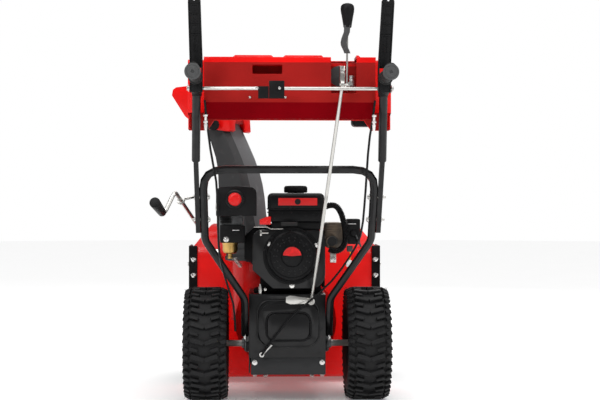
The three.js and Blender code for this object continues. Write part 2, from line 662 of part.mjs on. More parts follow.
function lever(side) {
  const x = side * HANDLE.upperX;
  const paddle = leverSide([[46, 24], [226, 24], [226, 36], [190, 40], [46, 40]], x - 16, x + 16);
  const cheeks = [-1, 1].map((k) => {
    const near = x + k * 13.2;
    return leverSide([[-9, -7], [2, -10], [62, 26], [62, 36], [40, 38], [-8, 8]], Math.min(near,
        near + k * 3.2),
      Math.max(near, near + k * 3.2));
  });
  const hole = leverSide([[208, 0], [216, 0], [216, 60], [208, 60]], x - 4, x + 4);
  const slots = [-8, 8].map((offset) =>
    leverSide([[92, 0], [172, 0], [172, 60], [92, 60]], x + offset - 3, x + offset + 3));
  const tips = [-1, 1].map((k) => leverSide([[230, 10], [230, 50], [206, 50], [206, 10]],
    Math.min(x + k * 10, x + k * 30), Math.max(x + k * 10, x + k * 30)));
  const taper = tips.map((tip, i) => {
    const corner = PIVOT.z + 206 * Math.cos(LEAN) + 30 * Math.sin(LEAN);
    const at = V(x + (i ? 16 : -16), 0, corner);
    return tip.translate(-at.x, 0, -at.z).rotateY(i ? -0.5 : 0.5).translate(at.x + (i ? 3 : -3), 0, at.z);
  });
  const rodBore = disc('x', V(x, PIVOT.y, PIVOT.z), PIVOT.rod + 0.3, -30, 30, 12);
  return cut(join(paddle, ...cheeks), hole, ...slots, ...taper, rodBore);
}

function interlockRod(side) {
  const [near, far] = side < 0 ? [-82, -55.3] : [-15.5, -54.6];
  const shaft = rod(V(side * 258, PIVOT.y, PIVOT.z), V(side < 0 ? -68 : -30, PIVOT.y, PIVOT.z),
      PIVOT.rod, 12);
  const cam = side < 0 ? block(near, far, PIVOT.y - 9, PIVOT.y + 9, 843, 873)
    : block(far, near, PIVOT.y - 9, PIVOT.y + 9, 843, 887);
  return join(shaft, cam);
}

const leverNames = [['drive', -1], ['auger', 1]];
leverNames.forEach(([word, side]) => {
  add(`${word}_lever`, lever(side), plastic);
  add(`${word}_interlock_rod`, interlockRod(side), zinc);
});

// ---- Speed selector -----------------------------------------------------------------------
const leverTop = V(164, -416, 1040);
function speedLever() {
  const { y, z, arm } = SHIFT;
  const bar = alongX([[y - 8, z - 8], [y + 8, z - 8], [y + 8, z + 40], [y - 12, leverTop.z], [y - 28,
      leverTop.z],
    [y - 8, z + 40]], 148, 152);
  const crankArm = block(148, 152, y - arm - 7, y + 4, z - 7, z + 7);
  const pin = rod(V(126, y - arm, z), V(152, y - arm, z), 3, 10);
  const pivot = rod(V(144, y, z), V(164, y, z), 6, 12);
  return join(bar, crankArm, pin, pivot);
}
add('speed_lever', speedLever(), zinc);

function speedKnob() {
  const profile = [[0, 0], [10, 0], [14, 30], [18, 54], [16, 60], [0, 64]];
  const knob = turned(profile, 'z', V(0, 0, 0), 16);
  const socket = block(-2.4, 2.4, -9, 9, -5, 14);
  return cut(knob, socket).translate(150, leverTop.y + 1.5, leverTop.z - 6);
}
add('speed_knob', speedKnob(), plastic);

function shiftRod() {
  const top = V(133, SHIFT.y - SHIFT.arm, SHIFT.z);
  const low = V(ARM.x + ARM.length, ARM.y - 16, ARM.z - 4);
  const knee = V(108, -381, 672);
  const start = top.clone().lerp(knee, 0.037);
  const end = low.clone().lerp(knee, 0.0165);
  const shaft = tube(bent([start, knee, end], 200, 3), 4.6, 10);
  const topEye = ring('x', top, 5.6, 11, -4, 4, 16);
  const lowEye = ring('y', low, 5.6, 10, -3.5, 3.5, 16);
  return join(shaft, topEye, lowEye);
}
add('shift_rod', shiftRod(), zinc);

function shiftArm() {
  const end = V(ARM.x + ARM.length, 0, ARM.z - 4);
  const plate = alongY([[ARM.x - 12, ARM.z - 8], [ARM.x, ARM.z - 13], [end.x + 6, end.z - 7], [end.x + 6,
      end.z + 7],
    [ARM.x, ARM.z + 12], [ARM.x - 12, ARM.z + 7]], ARM.y - 4.2, ARM.y - 1.2);
  const stud = rod(V(end.x, ARM.y - 2, end.z), V(end.x, ARM.y - 24, end.z), 3, 10);
  const spindle = rod(V(ARM.x, ARM.y - 2, ARM.z), V(ARM.x, -92, ARM.z), 5, 10);
  return join(plate, stud, spindle);
}
add('shift_arm', shiftArm(), zinc);

// ---- Discharge chute ----------------------------------------------------------------------
// Side curves of the channel in its own frame, as (throw, z) points, bottom to top.
const chuteBack = new THREE.SplineCurve([[-62, 412], [-46, 455], [-28, 513], [-20, 583], [-11, 635], [4, 684],
  [29, 739], [60, 799], [74, 826]].map(([v, z]) => new THREE.Vector2(v, z)));
const chuteFront = new THREE.SplineCurve([[62, 412], [70, 455], [80, 513], [88, 583], [91, 635], [94, 690],
  [108, 739], [132, 799], [142, 826]].map(([v, z]) => new THREE.Vector2(v, z)));

// A point of a side curve; past its ends the curve goes on straight up or down.
function sidePoint(curve, t) {
  const inside = THREE.MathUtils.clamp(t, 0, 1);
  return curve.getPoint(inside).add(new THREE.Vector2(0, (t - inside) * 400));
}

// Pulls a (side, depth) outline up the channel, depth 0 on the back curve and 1 on the front.
function channel(points, from, to, steps) {
  const shape = new THREE.ExtrudeGeometry(outline(points), { depth: 1, steps, bevelEnabled: false });
  const place = shape.attributes.position;
  for (let i = 0; i < place.count; i += 1) {
    const t = from + (to - from) * place.getZ(i);
    const [back, front] = [sidePoint(chuteBack, t), sidePoint(chuteFront, t)];
    const depth = place.getY(i);
    place.setXYZ(i, place.getX(i), back.x + (front.x - back.x) * depth, back.y + (front.y - back.y) * depth);
  }
  return shape;
}

const seat = new THREE.Group();
seat.position.set(NECK.x, NECK.y, 0);
seat.rotation.z = THREE.MathUtils.degToRad(CHUTE.turn);
machine.add(seat);

function chute() {
  const outer = channel([[58, 1], [-58, 1], [-58, 0.2], [-40, 0], [40, 0], [58, 0.2]].reverse(), 0, 1, 10);
  const inner = channel([[55, 0.97], [-55, 0.97], [-55, 0.23], [-38, 0.035], [38, 0.035], [55,
      0.23]].reverse(),
    -0.01, 1.01, 10);
  const mouth = channel([[55, 1.2], [-55, 1.2], [-55, 0.9], [55, 0.9]].reverse(), 0.42, 1.01, 6);
  const base = V(0, 0, 0);
  const gear = disc('z', base, 88, NECK.top + GAP, NECK.top + 12, 28);
  const collar = disc('z', base, 74, NECK.top + 11, NECK.top + 34, 28);
  const bore = disc('z', base, 56, NECK.top - 10, NECK.top + 14, 28);
  const throat = block(-50, 50, -40, 52, NECK.top + 5, NECK.top + 40);
  const body = cut(join(outer, collar, gear), inner, mouth, bore, throat);
  return body;
}
add('chute', chute(), chutePlastic, seat);

function chuteDeflector() {
  const shape = [[46, 802], [52, 798], [112, 806], [150, 806], [212, 850], [262, 918], [258, 936], [246, 943],
    [150, 948], [84, 915], [50, 858]];
  const room = [[54, 760], [150, 760], [400, 900], [262, 934], [246, 939.5], [151, 944.5], [86, 912],
      [54, 857]];
  const hood = cut(alongX(shape, -64, 64), alongX(room, -60.5, 60.5));
  const arch = join(block(-30, 30, 40, 54.5, 790, 816), rod(V(0, 40, 816), V(0, 54.5, 816), 30, 24));
  return cut(hood, arch);
}
add('chute_deflector', chuteDeflector(), red, seat);

// ---- Chute crank --------------------------------------------------------------------------
const crankBend = CRANK_EYE.clone().addScaledVector(crankWay, -72);
const armEnd = crankBend.clone().add(V(-29, 0, -60));
function chuteCrank() {
  const foot = armEnd.clone().addScaledVector(crankWay, -96);
  const path = bent([CRANK_END, crankBend, armEnd, foot], 14, 4);
  const worm = rod(CRANK_END, CRANK_END.clone().addScaledVector(crankWay, -62), 12.5, 14);
  return join(tube(path, 5.5, 8), worm);
}
add('chute_crank', chuteCrank(), zinc);

function crankGrip() {
  const start = armEnd.clone().addScaledVector(crankWay, -18);
  const end = armEnd.clone().addScaledVector(crankWay, -106);
  const bore = rod(armEnd, armEnd.clone().addScaledVector(crankWay, -98), 6, 12);
  return cut(rod(start, end, 11, 14, 14), bore);
}
add('crank_grip', crankGrip(), plastic);

// ---- Control cables, held from end to end --------------------------------------------------
const driveCableRoute = [V(-219, -448, 842), V(-216, -434, 800), V(-212, -417, 765), V(-204, -392, 700),
  V(-193, -375, 640), V(-190, -340, 570), V(-190, -300, 500), V(-187, -255, 430), V(-168, -205, 350),
  V(-152, -165, 290), V(-148, -130, 215)];
add('drive_cable', tube(smooth(driveCableRoute, 16), 3, 8), plastic);

const augerCableRoute = [V(219, -448, 842), V(215, -434, 800), V(210, -417, 765), V(205, -392, 700),
  V(203, -372, 640), V(200, -335, 560), V(195, -285, 490), V(168, -215, 425), V(125, -165, 360),
  V(80, -145, 315), V(20, -125, 262), V(-30, -122, 205), V(-72, -122, 146)];
add('auger_cable', tube(smooth(augerCableRoute, 18), 3, 8), plastic);

// ---- The frame: origin under the middle of the bounding box -------------------------------
const extent = new THREE.Box3().setFromObject(machine, true);
machine.position.set(-(extent.min.x + extent.max.x) / 2, -(extent.min.y + extent.max.y) / 2, -extent.min.z);

const snowBlower = new THREE.Group();
snowBlower.add(machine);
export default snowBlower;
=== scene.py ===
"""Walk-behind two-stage snow blower: its finishes and fine pieces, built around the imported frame."""

import json
import math
import random

import bmesh
import bpy
from bpy.props import FloatProperty, FloatVectorProperty, IntProperty, PointerProperty
from mathutils import Matrix, Vector

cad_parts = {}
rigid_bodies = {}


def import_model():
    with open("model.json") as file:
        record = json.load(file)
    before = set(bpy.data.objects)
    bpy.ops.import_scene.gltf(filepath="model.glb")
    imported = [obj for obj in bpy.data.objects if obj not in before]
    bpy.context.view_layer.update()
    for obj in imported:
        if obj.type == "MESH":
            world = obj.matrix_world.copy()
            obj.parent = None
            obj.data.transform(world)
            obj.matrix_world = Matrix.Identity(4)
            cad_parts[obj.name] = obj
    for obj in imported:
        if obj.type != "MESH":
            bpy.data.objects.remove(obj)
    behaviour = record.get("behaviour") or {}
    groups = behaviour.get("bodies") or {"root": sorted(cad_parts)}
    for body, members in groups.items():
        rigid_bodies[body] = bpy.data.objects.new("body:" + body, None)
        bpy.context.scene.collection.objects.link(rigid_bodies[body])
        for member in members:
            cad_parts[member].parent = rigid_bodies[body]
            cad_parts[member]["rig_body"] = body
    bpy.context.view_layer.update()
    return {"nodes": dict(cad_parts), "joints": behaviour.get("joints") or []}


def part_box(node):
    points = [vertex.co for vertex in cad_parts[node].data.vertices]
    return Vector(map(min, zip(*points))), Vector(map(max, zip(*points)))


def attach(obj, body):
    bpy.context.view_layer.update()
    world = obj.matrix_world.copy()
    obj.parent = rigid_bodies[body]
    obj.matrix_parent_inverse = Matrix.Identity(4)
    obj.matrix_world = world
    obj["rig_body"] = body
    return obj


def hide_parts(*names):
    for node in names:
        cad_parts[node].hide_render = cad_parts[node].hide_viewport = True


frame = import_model()

bl_info = {
    "name": "Snow blower",
    "version": (1, 0, 0),
    "blender": (4, 5, 0),
    "location": "View3D > Sidebar > Snow blower",
    "description": "Builds a walk-behind two-stage snow blower in pieces",
    "category": "Add Mesh",
}

MM = 0.001
SMOOTH_ANGLE = math.radians(38)
SHEEN = 0.3
TYRE_BOXES = [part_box("tyre_left"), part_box("tyre_right")]
# The machine's own zero is on the ground, under the middle of the axle.
ZERO = Vector((
    sum(box[i].x for box in TYRE_BOXES for i in (0, 1)) / 4,
    sum(box[i].y for box in TYRE_BOXES for i in (0, 1)) / 4,
    0,
))


def at(x, y, z):
    """A place in the machine's own millimetres, as a point of the frame in metres."""
    return ZERO + Vector((x, y, z)) * MM


def turned_to(direction):
    """The rotation that turns +Z to a direction."""
    return Vector(direction).to_track_quat("Z", "Y").to_matrix().to_4x4()


# ---------------------------------------------------------------- finishes


class Value:
    """A shader socket on which sums are written as on a number."""

    def __init__(self, recipe, socket):
        self.recipe = recipe
        self.socket = socket

    def sum(self, operation, *others, clamp=False):
        """One Math node on this value and the others."""
        settings = {"operation": operation, "use_clamp": clamp}
        return self.recipe.node("ShaderNodeMath", settings, dict(enumerate((self, *others))))

    def __add__(self, other):
        return self.sum("ADD", other)

    __radd__ = __add__

    def __mul__(self, other):
        return self.sum("MULTIPLY", other)

    __rmul__ = __mul__

    def ramp(self, low, high):
        """0 below low, 1 above high, and straight between."""
        return self.sum("SUBTRACT", low).sum("MULTIPLY", 1 / (high - low), clamp=True)


class Recipe:
    """The nodes of one finish."""

    def __init__(self, name, slot, roughness=0.5, metallic=0.0):
        self.name = name
        self.material = bpy.data.materials.new(name)
        self.material.use_nodes = True
        self.material["slot"] = slot
        self.tree = self.material.node_tree
        self.shader = self.tree.nodes["Principled BSDF"]
        self.shader.inputs["Roughness"].default_value = roughness
        self.shader.inputs["Metallic"].default_value = metallic
        self.shader.inputs["Specular IOR Level"].default_value = SHEEN
        self.place = self.node("ShaderNodeTexCoord", {}, {}, "Object")

    def node(self, kind, settings, sockets, output=0):
        """A node with its settings and its sockets' values or links, as the Value of one output."""
        made = self.tree.nodes.new(kind)
        for key, value in settings.items():
            if key == "stops":
                stops = made.color_ramp.elements
                for i, (place, colour) in enumerate(value):
                    stop = stops[i] if i < len(stops) else stops.new(place)
                    stop.position = place
                    stop.color = (*colour, 1)
            else:
                setattr(made, key, value)
        for key, value in sockets.items():
            self.feed(made.inputs[key], value)
        return Value(self, made.outputs[output])

    def feed(self, socket, value):
        """Gives a socket its number, colour or link."""
        if isinstance(value, Value):
            self.tree.links.new(value.socket, socket)
        else:
            socket.default_value = value

    def noise(self, scale, detail=3, stretch=(1, 1, 1)):
        """Cloudy noise from 0 to 1, at a number of clouds per metre."""
        place = self.place
        if stretch != (1, 1, 1):
            place = self.node("ShaderNodeMapping", {}, {"Vector": place, "Scale": stretch})
        return self.node("ShaderNodeTexNoise", {}, {"Vector": place, "Scale": scale, "Detail": detail})

    def cells(self, scale):
        """Round grains, 0 at their middles."""
        return self.node("ShaderNodeTexVoronoi", {}, {"Vector": self.place, "Scale": scale})

    def colours(self, mask, *stops):
        """A colour that goes through the stops as the mask goes from 0 to 1."""
        return self.node("ShaderNodeValToRGB", {"stops": stops}, {"Fac": mask})

    def set(self, **sockets):
        """Feeds the shader's own sockets."""
        for key, value in sockets.items():
            self.feed(self.shader.inputs[key.replace("_", " ")], value)
        return self

    def bump(self, height, distance, strength=1.0):
        """Relief of that distance in metres."""
        sockets = {"Height": height, "Distance": distance, "Strength": strength}
        return self.set(Normal=self.node("ShaderNodeBump", {}, sockets))


def shade(colour, factor):
    """A colour made lighter or darker."""
    return tuple(min(1.0, c * factor) for c in colour)


def paint(name, slot, colour, roughness, coat, peel, sheen=SHEEN):
    """Sprayed paint: faint clouds, dust that dulls it in places, and orange peel."""
    recipe = Recipe(name, slot)
    clouds = recipe.noise(9, 4)
    dust = recipe.noise(38, 6).ramp(0.52, 0.82)
    stops = ((0.3, shade(colour, 0.86)), (0.7, shade(colour, 1.12)))
    recipe.set(Base_Color=recipe.colours(clouds, *stops))
    recipe.set(Roughness=dust * 0.16 + roughness, Coat_Weight=dust * -0.3 + coat)
    recipe.set(Coat_Roughness=0.12, Specular_IOR_Level=sheen)
    return recipe.bump(recipe.noise(peel, 2), 0.00035, 0.35)


def moulded(name, slot, colour, roughness, grain, sheen=SHEEN):
    """Moulded plastic or rubber with a fine grain and faint scuffs."""
    recipe = Recipe(name, slot)
    scuffs = recipe.noise(60, 8, (1, 0.35, 1)).ramp(0.58, 0.75)
    stops = ((0.0, colour), (1.0, shade(colour, 1.9)))
    recipe.set(Base_Color=recipe.colours(scuffs * 0.6 + recipe.noise(14, 3) * 0.25, *stops))
    recipe.set(Roughness=scuffs * 0.12 + roughness, Specular_IOR_Level=sheen)
    return recipe.bump(recipe.cells(grain), 0.0003, 0.45)


def metal(name, slot, colour, roughness, stretch, metallic=1.0):
    """Bare or plated metal with fine drawn lines and a few dull stains."""
    recipe = Recipe(name, slot, metallic=metallic)
    lines = recipe.noise(220, 3, stretch)
    stains = recipe.noise(24, 6).ramp(0.5, 0.78)
    stops = ((0.0, colour), (1.0, shade(colour, 0.62)))
    recipe.set(Base_Color=recipe.colours(stains * 0.8 + lines * 0.2, *stops))
    recipe.set(Roughness=stains * 0.2 + lines * 0.12 + roughness)
    return recipe.bump(lines, 0.0001, 0.3)


def cast(name, slot, colour, roughness):
    """Sand-cast metal: coarse grain and darker hollows."""
    recipe = Recipe(name, slot, metallic=0.75)
    grain = recipe.noise(420, 4)
    stops = ((0.3, shade(colour, 0.6)), (0.7, shade(colour, 1.15)))
    recipe.set(Base_Color=recipe.colours(recipe.noise(30, 5), *stops))
    recipe.set(Roughness=grain * 0.2 + roughness)
    return recipe.bump(grain, 0.0006, 0.5)


def tyre_finish(name, slot, colour):
    """Tyre rubber: matt, with paler dust low on the tread."""
    recipe = Recipe(name, slot)
    dust = recipe.noise(45, 7).ramp(0.45, 0.8)
    stops = ((0.0, colour), (1.0, shade(colour, 2.4)))
    recipe.set(Base_Color=recipe.colours(dust, *stops), Roughness=dust * 0.15 + 0.62)
    return recipe.bump(recipe.noise(600, 3), 0.0004, 0.4)


def heat_tinted(name, slot, colour):
    """Sheet steel near the exhaust: bands of straw and brown on grey."""
    recipe = Recipe(name, slot, metallic=0.9)
    tint = recipe.noise(18, 5)
    stops = ((0.35, colour), (0.6, shade((0.34, 0.26, 0.19), 0.7)), (0.8, shade(colour, 0.55)))
    recipe.set(Base_Color=recipe.colours(tint, *stops), Roughness=tint * 0.25 + 0.28)
    return recipe.bump(recipe.noise(300, 3), 0.0003, 0.4)


FINISHES = {}


def make_finishes(colours):
    """Makes every finish once, by name."""
    red, chute, tyre = (tuple(c) for c in (colours.red, colours.chute, colours.tyre))
    black = (0.005, 0.005, 0.0055)
    made = [
        paint("red_paint", "red_paint", red, 0.3, 0.25, 210, 0.15),
        # A deeper copy of the red paint: painted shade for the console's rear face.
        paint("painted_half_shade_red_paint", "red_paint", (0.33, 0.011, 0.009), 0.5, 0, 210, 0.08),
        # A darker copy of the red paint: painted shade for the console's under side.
        paint("painted_shade_red_paint", "red_paint", (0.2, 0.0, 0.003), 0.6, 0, 210, 0.02),
        paint("black_paint", "black_paint", (0.004, 0.004, 0.0045), 0.3, 0.1, 260),
        paint("grey_paint", "grey_paint", (0.014, 0.0145, 0.0155), 0.4, 0.05, 260),
        paint("rim_paint", "rim_paint", (0.5, 0.5, 0.5), 0.35, 0.4, 200),
        moulded("black_plastic", "black_plastic", black, 0.42, 1500, 0.16),
        moulded("satin_plastic", "black_plastic", (0.005, 0.005, 0.0055), 0.24, 2200, 0.14),
        moulded("chute_plastic", "chute_plastic", chute, 0.42, 1400),
        # A paler copy of the chute plastic: painted light for the chute's side that faces +X.
        moulded("painted_light_chute_plastic", "chute_plastic", shade(chute, 3.2), 0.5, 1400),
        moulded("red_plastic", "red_plastic", (0.72, 0.012, 0.012), 0.2, 2600),
        moulded("label_red", "red_plastic", (0.55, 0.012, 0.012), 0.35, 2600),
        moulded("soft_rubber", "soft_rubber", (0.01, 0.01, 0.01), 0.6, 1800),
        moulded("grey_rubber", "soft_rubber", (0.055, 0.056, 0.057), 0.5, 1800),
        moulded("yellow_wire", "black_plastic", (0.8, 0.5, 0.03), 0.4, 2600),
        moulded("white_mark", "black_plastic", (0.75, 0.75, 0.75), 0.4, 2600),
        tyre_finish("tread_rubber", "tread_rubber", tyre),
        metal("zinc", "zinc", (0.62, 0.61, 0.58), 0.24, (1, 1, 0.1)),
        metal("bright_bolt", "zinc", (0.78, 0.77, 0.75), 0.2, (1, 1, 1)),
        metal("brass", "cast_aluminium", (0.66, 0.42, 0.14), 0.3, (1, 1, 0.3)),
        cast("cast_aluminium", "cast_aluminium", (0.2, 0.205, 0.21), 0.42),
        cast("black_casting", "cast_aluminium", (0.008, 0.008, 0.0085), 0.45),
        heat_tinted("exhaust_steel", "exhaust_steel", (0.06, 0.062, 0.064)),
    ]
    for recipe in made:
        FINISHES[recipe.name] = recipe.material


# ------------------------------------------------------------ making pieces


def mesh_piece(name, bm, finish, body, replaces=(), smooth=SMOOTH_ANGLE):
    """Turns a bmesh into a piece that rides on a body, smooth where its faces meet gently."""
    bmesh.ops.remove_doubles(bm, verts=bm.verts, dist=0.00001)
    bm.normal_update()
    for face in bm.faces:
        face.smooth = True
    for edge in bm.edges:
        edge.smooth = len(edge.link_faces) == 2 and edge.calc_face_angle(math.pi) < smooth
    mesh = bpy.data.meshes.new(name)
    bm.to_mesh(mesh)
    bm.free()
    piece = bpy.data.objects.new(name, mesh)
    bpy.context.scene.collection.objects.link(piece)
    return dressed(piece, finish, body, replaces)


def dressed(piece, finish, body, replaces=()):
    """Gives a piece its finish, its body and the nodes that it stands for."""
    material = FINISHES[finish]
    piece.data.materials.clear()
    piece.data.materials.append(material)
    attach(piece, body)
    if replaces:
        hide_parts(*replaces)
    return piece


def node_body(node):
    """The body that a node belongs to."""
    return frame["nodes"][node]["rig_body"]


def fold_round(bm, width, segments=2, angle=30):
    """Rounds every edge of a solid that is sharper than the angle, in degrees."""
    limit = math.radians(angle)
    sharp = [e for e in bm.edges if len(e.link_faces) == 2 and e.calc_face_angle(0) > limit]
    bmesh.ops.bevel(
        bm, geom=sharp, offset=width * MM, offset_type="OFFSET", segments=segments, profile=0.5,
        affect="EDGES", clamp_overlap=True, material=-1,
    )


def rounded_node(node, finish, width, segments=2, levels=()):
    """A copy of a node with rounded edges, which stands for it, cut into bands at some heights."""
    bm = bmesh.new()
    bm.from_mesh(frame["nodes"][node].data)
    bmesh.ops.remove_doubles(bm, verts=bm.verts, dist=0.00002)
    if width:
        bmesh.ops.dissolve_limit(
            bm, angle_limit=math.radians(0.6), use_dissolve_boundaries=False,
            verts=bm.verts, edges=bm.edges,
        )
        fold_round(bm, width, segments)
    for height in levels:
        everything = bm.verts[:] + bm.edges[:] + bm.faces[:]
        bmesh.ops.bisect_plane(bm, geom=everything, plane_co=at(0, 0, height), plane_no=(0, 0, 1))
    return mesh_piece(f"{node}_shell", bm, finish, node_body(node), (node,))


def block(bm, low, high, width=0.0, segments=2):
    """Adds a box between two corners, in the machine's millimetres, with rounded edges."""
    middle = at(*((a + b) / 2 for a, b in zip(low, high)))
    size = Matrix.Diagonal([(b - a) * MM for a, b in zip(low, high)] + [1])
    part = bmesh.new()
    bmesh.ops.create_cube(part, size=1, matrix=Matrix.Translation(middle) @ size)
    if width:
        fold_round(part, width, segments)
    joined(bm, part)


def joined(bm, part):
    """Adds a finished bmesh to another."""
    mesh = bpy.data.meshes.new("part")
    part.to_mesh(mesh)
    part.free()
    bm.from_mesh(mesh)
    bpy.data.meshes.remove(mesh)


def disc(bm, centre, direction, radius, height, sides=32, top=None, width=0.0):
    """Adds a cylinder or cone that stands on a centre, in millimetres."""
    part = bmesh.new()
    place = Matrix.Translation(at(*centre)) @ turned_to(direction)
    place = place @ Matrix.Translation((0, 0, height * MM / 2))
    bmesh.ops.create_cone(
        part, cap_ends=True, segments=sides, radius1=radius * MM,
        radius2=(radius if top is None else top) * MM, depth=height * MM, matrix=place,
    )
    if width:
        fold_round(part, width, 2, 40)
    joined(bm, part)


def turned(bm, centre, direction, profile, sides=48):
    """Adds a turned shape: profile points are (radius, height) in millimetres."""
    part = bmesh.new()
    place = Matrix.Translation(at(*centre)) @ turned_to(direction)
    line = [part.verts.new((r * MM, 0, h * MM)) for r, h in profile]
    edges = [part.edges.new(pair) for pair in zip(line, line[1:])]
    bmesh.ops.spin(
        part, geom=line + edges, cent=(0, 0, 0), axis=(0, 0, 1), angle=math.tau, steps=sides,
        use_merge=True, use_duplicate=False,
    )
    bmesh.ops.remove_doubles(part, verts=part.verts, dist=0.00001)
    bmesh.ops.recalc_face_normals(part, faces=part.faces)
    bmesh.ops.transform(part, matrix=place, verts=part.verts)
    joined(bm, part)


def extruded(bm, outline, direction, depth, width=0.0, segments=2):
    """Adds a plate: an outline of machine points pushed along a direction, in millimetres."""
    part = bmesh.new()
    face = part.faces.new([part.verts.new(at(*p)) for p in outline])
    pushed = bmesh.ops.extrude_face_region(part, geom=[face])["geom"]
    moved = [v for v in pushed if isinstance(v, bmesh.types.BMVert)]
    bmesh.ops.translate(part, verts=moved, vec=Vector(direction).normalized() * depth * MM)
    bmesh.ops.recalc_face_normals(part, faces=part.faces)
    if width:
        fold_round(part, width, segments)
    joined(bm, part)


def wire(name, points, radius, finish, body, smooth=True, closed=False):
    """A held wire, rod or pipe through points in the machine's millimetres."""
    curve = bpy.data.curves.new(name, "CURVE")
    curve.dimensions = "3D"
    curve.bevel_depth = radius * MM
    curve.bevel_resolution = 3
    curve.use_fill_caps = True
    curve.resolution_u = 8
    line = curve.splines.new("BEZIER" if smooth else "POLY")
    spots = line.bezier_points if smooth else line.points
    spots.add(len(points) - 1)
    for spot, point in zip(spots, points):
        spot.co = at(*point) if smooth else (*at(*point), 1)
        if smooth:
            spot.handle_left_type = spot.handle_right_type = "AUTO"
    line.use_cyclic_u = closed
    path = bpy.data.objects.new("path", curve)
    bpy.context.scene.collection.objects.link(path)
    bpy.context.view_layer.update()
    swept = bpy.data.meshes.new_from_object(path)
    bpy.data.objects.remove(path)
    bm = bmesh.new()
    bm.from_mesh(swept)
    bpy.data.meshes.remove(swept)
    return mesh_piece(name, bm, finish, body)


def bolts(name, places, direction, radius, body, finish="bright_bolt", washer=True, height=0.62):
    """Hexagon bolt heads, with washers, standing on places along a direction."""
    bm = bmesh.new()
    for place in places:
        foot = Vector(place)
        if washer:
            disc(bm, foot, direction, radius * 1.45, radius * 0.22, 24, width=radius * 0.06)
            foot = foot + Vector(direction).normalized() * radius * 0.22
        disc(bm, foot, direction, radius, radius * height, 6, width=radius * 0.12)
    return mesh_piece(name, bm, finish, body)


# ------------------------------------------------------- pieces of the machine

HOUSING_NODES = {
    "auger_housing": ("red_paint", 1.0), "end_plate_left": ("black_paint", 0.8),
    "end_plate_right": ("black_paint", 0.8), "scraper_bar": ("black_paint", 0.8),
    "skid_shoe_left": ("black_paint", 1.2), "skid_shoe_right": ("black_paint", 1.2),
}
CASE_NODES = {
    "tractor_case": ("black_paint", 1.5), "rear_cover": ("black_paint", 1.5),
    "bottom_plate": ("grey_paint", 0.8), "belt_cover": ("black_plastic", 4.0),
}
HANDLE_NODES = {
    "lower_handle": ("black_paint", 0.0), "upper_handle_left": ("black_paint", 0.0),
    "upper_handle_right": ("black_paint", 0.0), "grip_left": ("soft_rubber", 1.0),
    "grip_right": ("soft_rubber", 1.0), "lever_bracket_left": ("black_plastic", 2.0),
    "lever_bracket_right": ("black_plastic", 2.0),
}
CONSOLE_NODES = {"headlight": ("black_plastic", 2.0)}
LEVER_NODES = {
        "speed_lever": ("zinc", 0.6),
    "shift_rod": ("zinc", 0.0), "shift_arm": ("zinc", 0.6),
}
CABLE_NODES = {"drive_cable": ("satin_plastic", 0.0), "auger_cable": ("satin_plastic", 0.0)}
ENGINE_NODES = {
    "engine_block": ("black_casting", 1.5), "fan_shroud": ("black_paint", 4.0),
    "crankshaft": ("zinc", 0.5),
    "recoil_handle": ("soft_rubber", 2.5),
}
FUEL_NODES = {
        "carburettor": ("cast_aluminium", 1.5), "carburettor_cover": ("black_plastic", 3.0),
    "throttle_lever": ("red_plastic", 1.2),
}
EXHAUST_NODES = {
    "muffler": ("exhaust_steel", 2.0), "starter_box": ("black_plastic", 2.0),
    "starter_button": ("black_plastic", 1.0),
}
WHEEL_NODES = {
    "axle": ("zinc", 0.5), "rim_left": ("rim_paint", 1.0), "rim_right": ("rim_paint", 1.0),
}
DRIVE_NODES = {
    "impeller": ("red_paint", 0.6), "auger_left": ("red_paint", 0.5),
    "auger_right": ("red_paint", 0.5), "auger_gearbox": ("cast_aluminium", 2.0),
    "drive_disc": ("cast_aluminium", 0.5), "friction_wheel": ("soft_rubber", 0.5),
}
CHUTE_NODES = {
    "chute_deflector": ("red_paint", 1.0),
    "chute_crank": ("zinc", 0.0), "crank_grip": ("black_plastic", 1.2),
    "crank_bracket": ("zinc", 0.8),
}


def rounded_nodes(table):
    """Rounded copies of a group of nodes, each with its finish."""
    for node, (finish, width) in table.items():
        rounded_node(node, finish, width)


def node_middle(node):
    """The middle of a node's box, in the machine's millimetres."""
    low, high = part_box(node)
    return ((low + high) / 2 - ZERO) / MM


def make_tyre(side, sizes):
    """One tyre: a carcass with beads, and rows of lugs that alternate wide and narrow."""
    node = f"tyre_{side}"
    centre = node_middle(node)
    half = 63
    bm = bmesh.new()
    profile = [
        (80, -44), (92, -52), (112, -61), (132, -62), (147, -57), (153, -50), (155.5, -30),
        (156, 0), (155.5, 30), (153, 50), (147, 57), (132, 62), (112, 61), (92, 52), (80, 44),
        (80, -44),
    ]
    turned(bm, centre, (1, 0, 0), profile, 72)
    for row in range(sizes.lug_rows):
        turn = math.tau * row / sizes.lug_rows
        wide = row % 2 == 0
        for hand in (-1, 1):
            inner = (-1, 40, 15) if wide else (17, 42, 11)
            for low, high, tall in (inner, (45, half, 12)):
                part = bmesh.new()
                bmesh.ops.create_cube(part, size=1)
                size = Matrix.Diagonal(((high - low) * MM, tall * MM, 16 * MM, 1))
                slant = Matrix.Rotation(math.radians(20) * hand, 4, "Z")
                place = Matrix.Translation((hand * (low + high) / 2 * MM, 0, 0.157))
                bmesh.ops.transform(part, matrix=place @ slant @ size, verts=part.verts)
                for v in part.verts:
                    reach = abs(v.co.x) / MM
                    if v.co.z > 0.157:
                        v.co.z -= max(0, reach - 44) * 0.5 * MM
                        v.co.y *= 0.82
                    v.co.x = max(-half * MM, min(half * MM, v.co.x))
                fold_round(part, 1.2, 1)
                spin = Matrix.Translation(at(*centre)) @ Matrix.Rotation(turn, 4, "X")
                bmesh.ops.transform(part, matrix=spin, verts=part.verts)
                joined(bm, part)
    mesh_piece(f"{node}_tread", bm, "tread_rubber", node_body(node), (node,))


# ------------------------------------------------------------- fine pieces

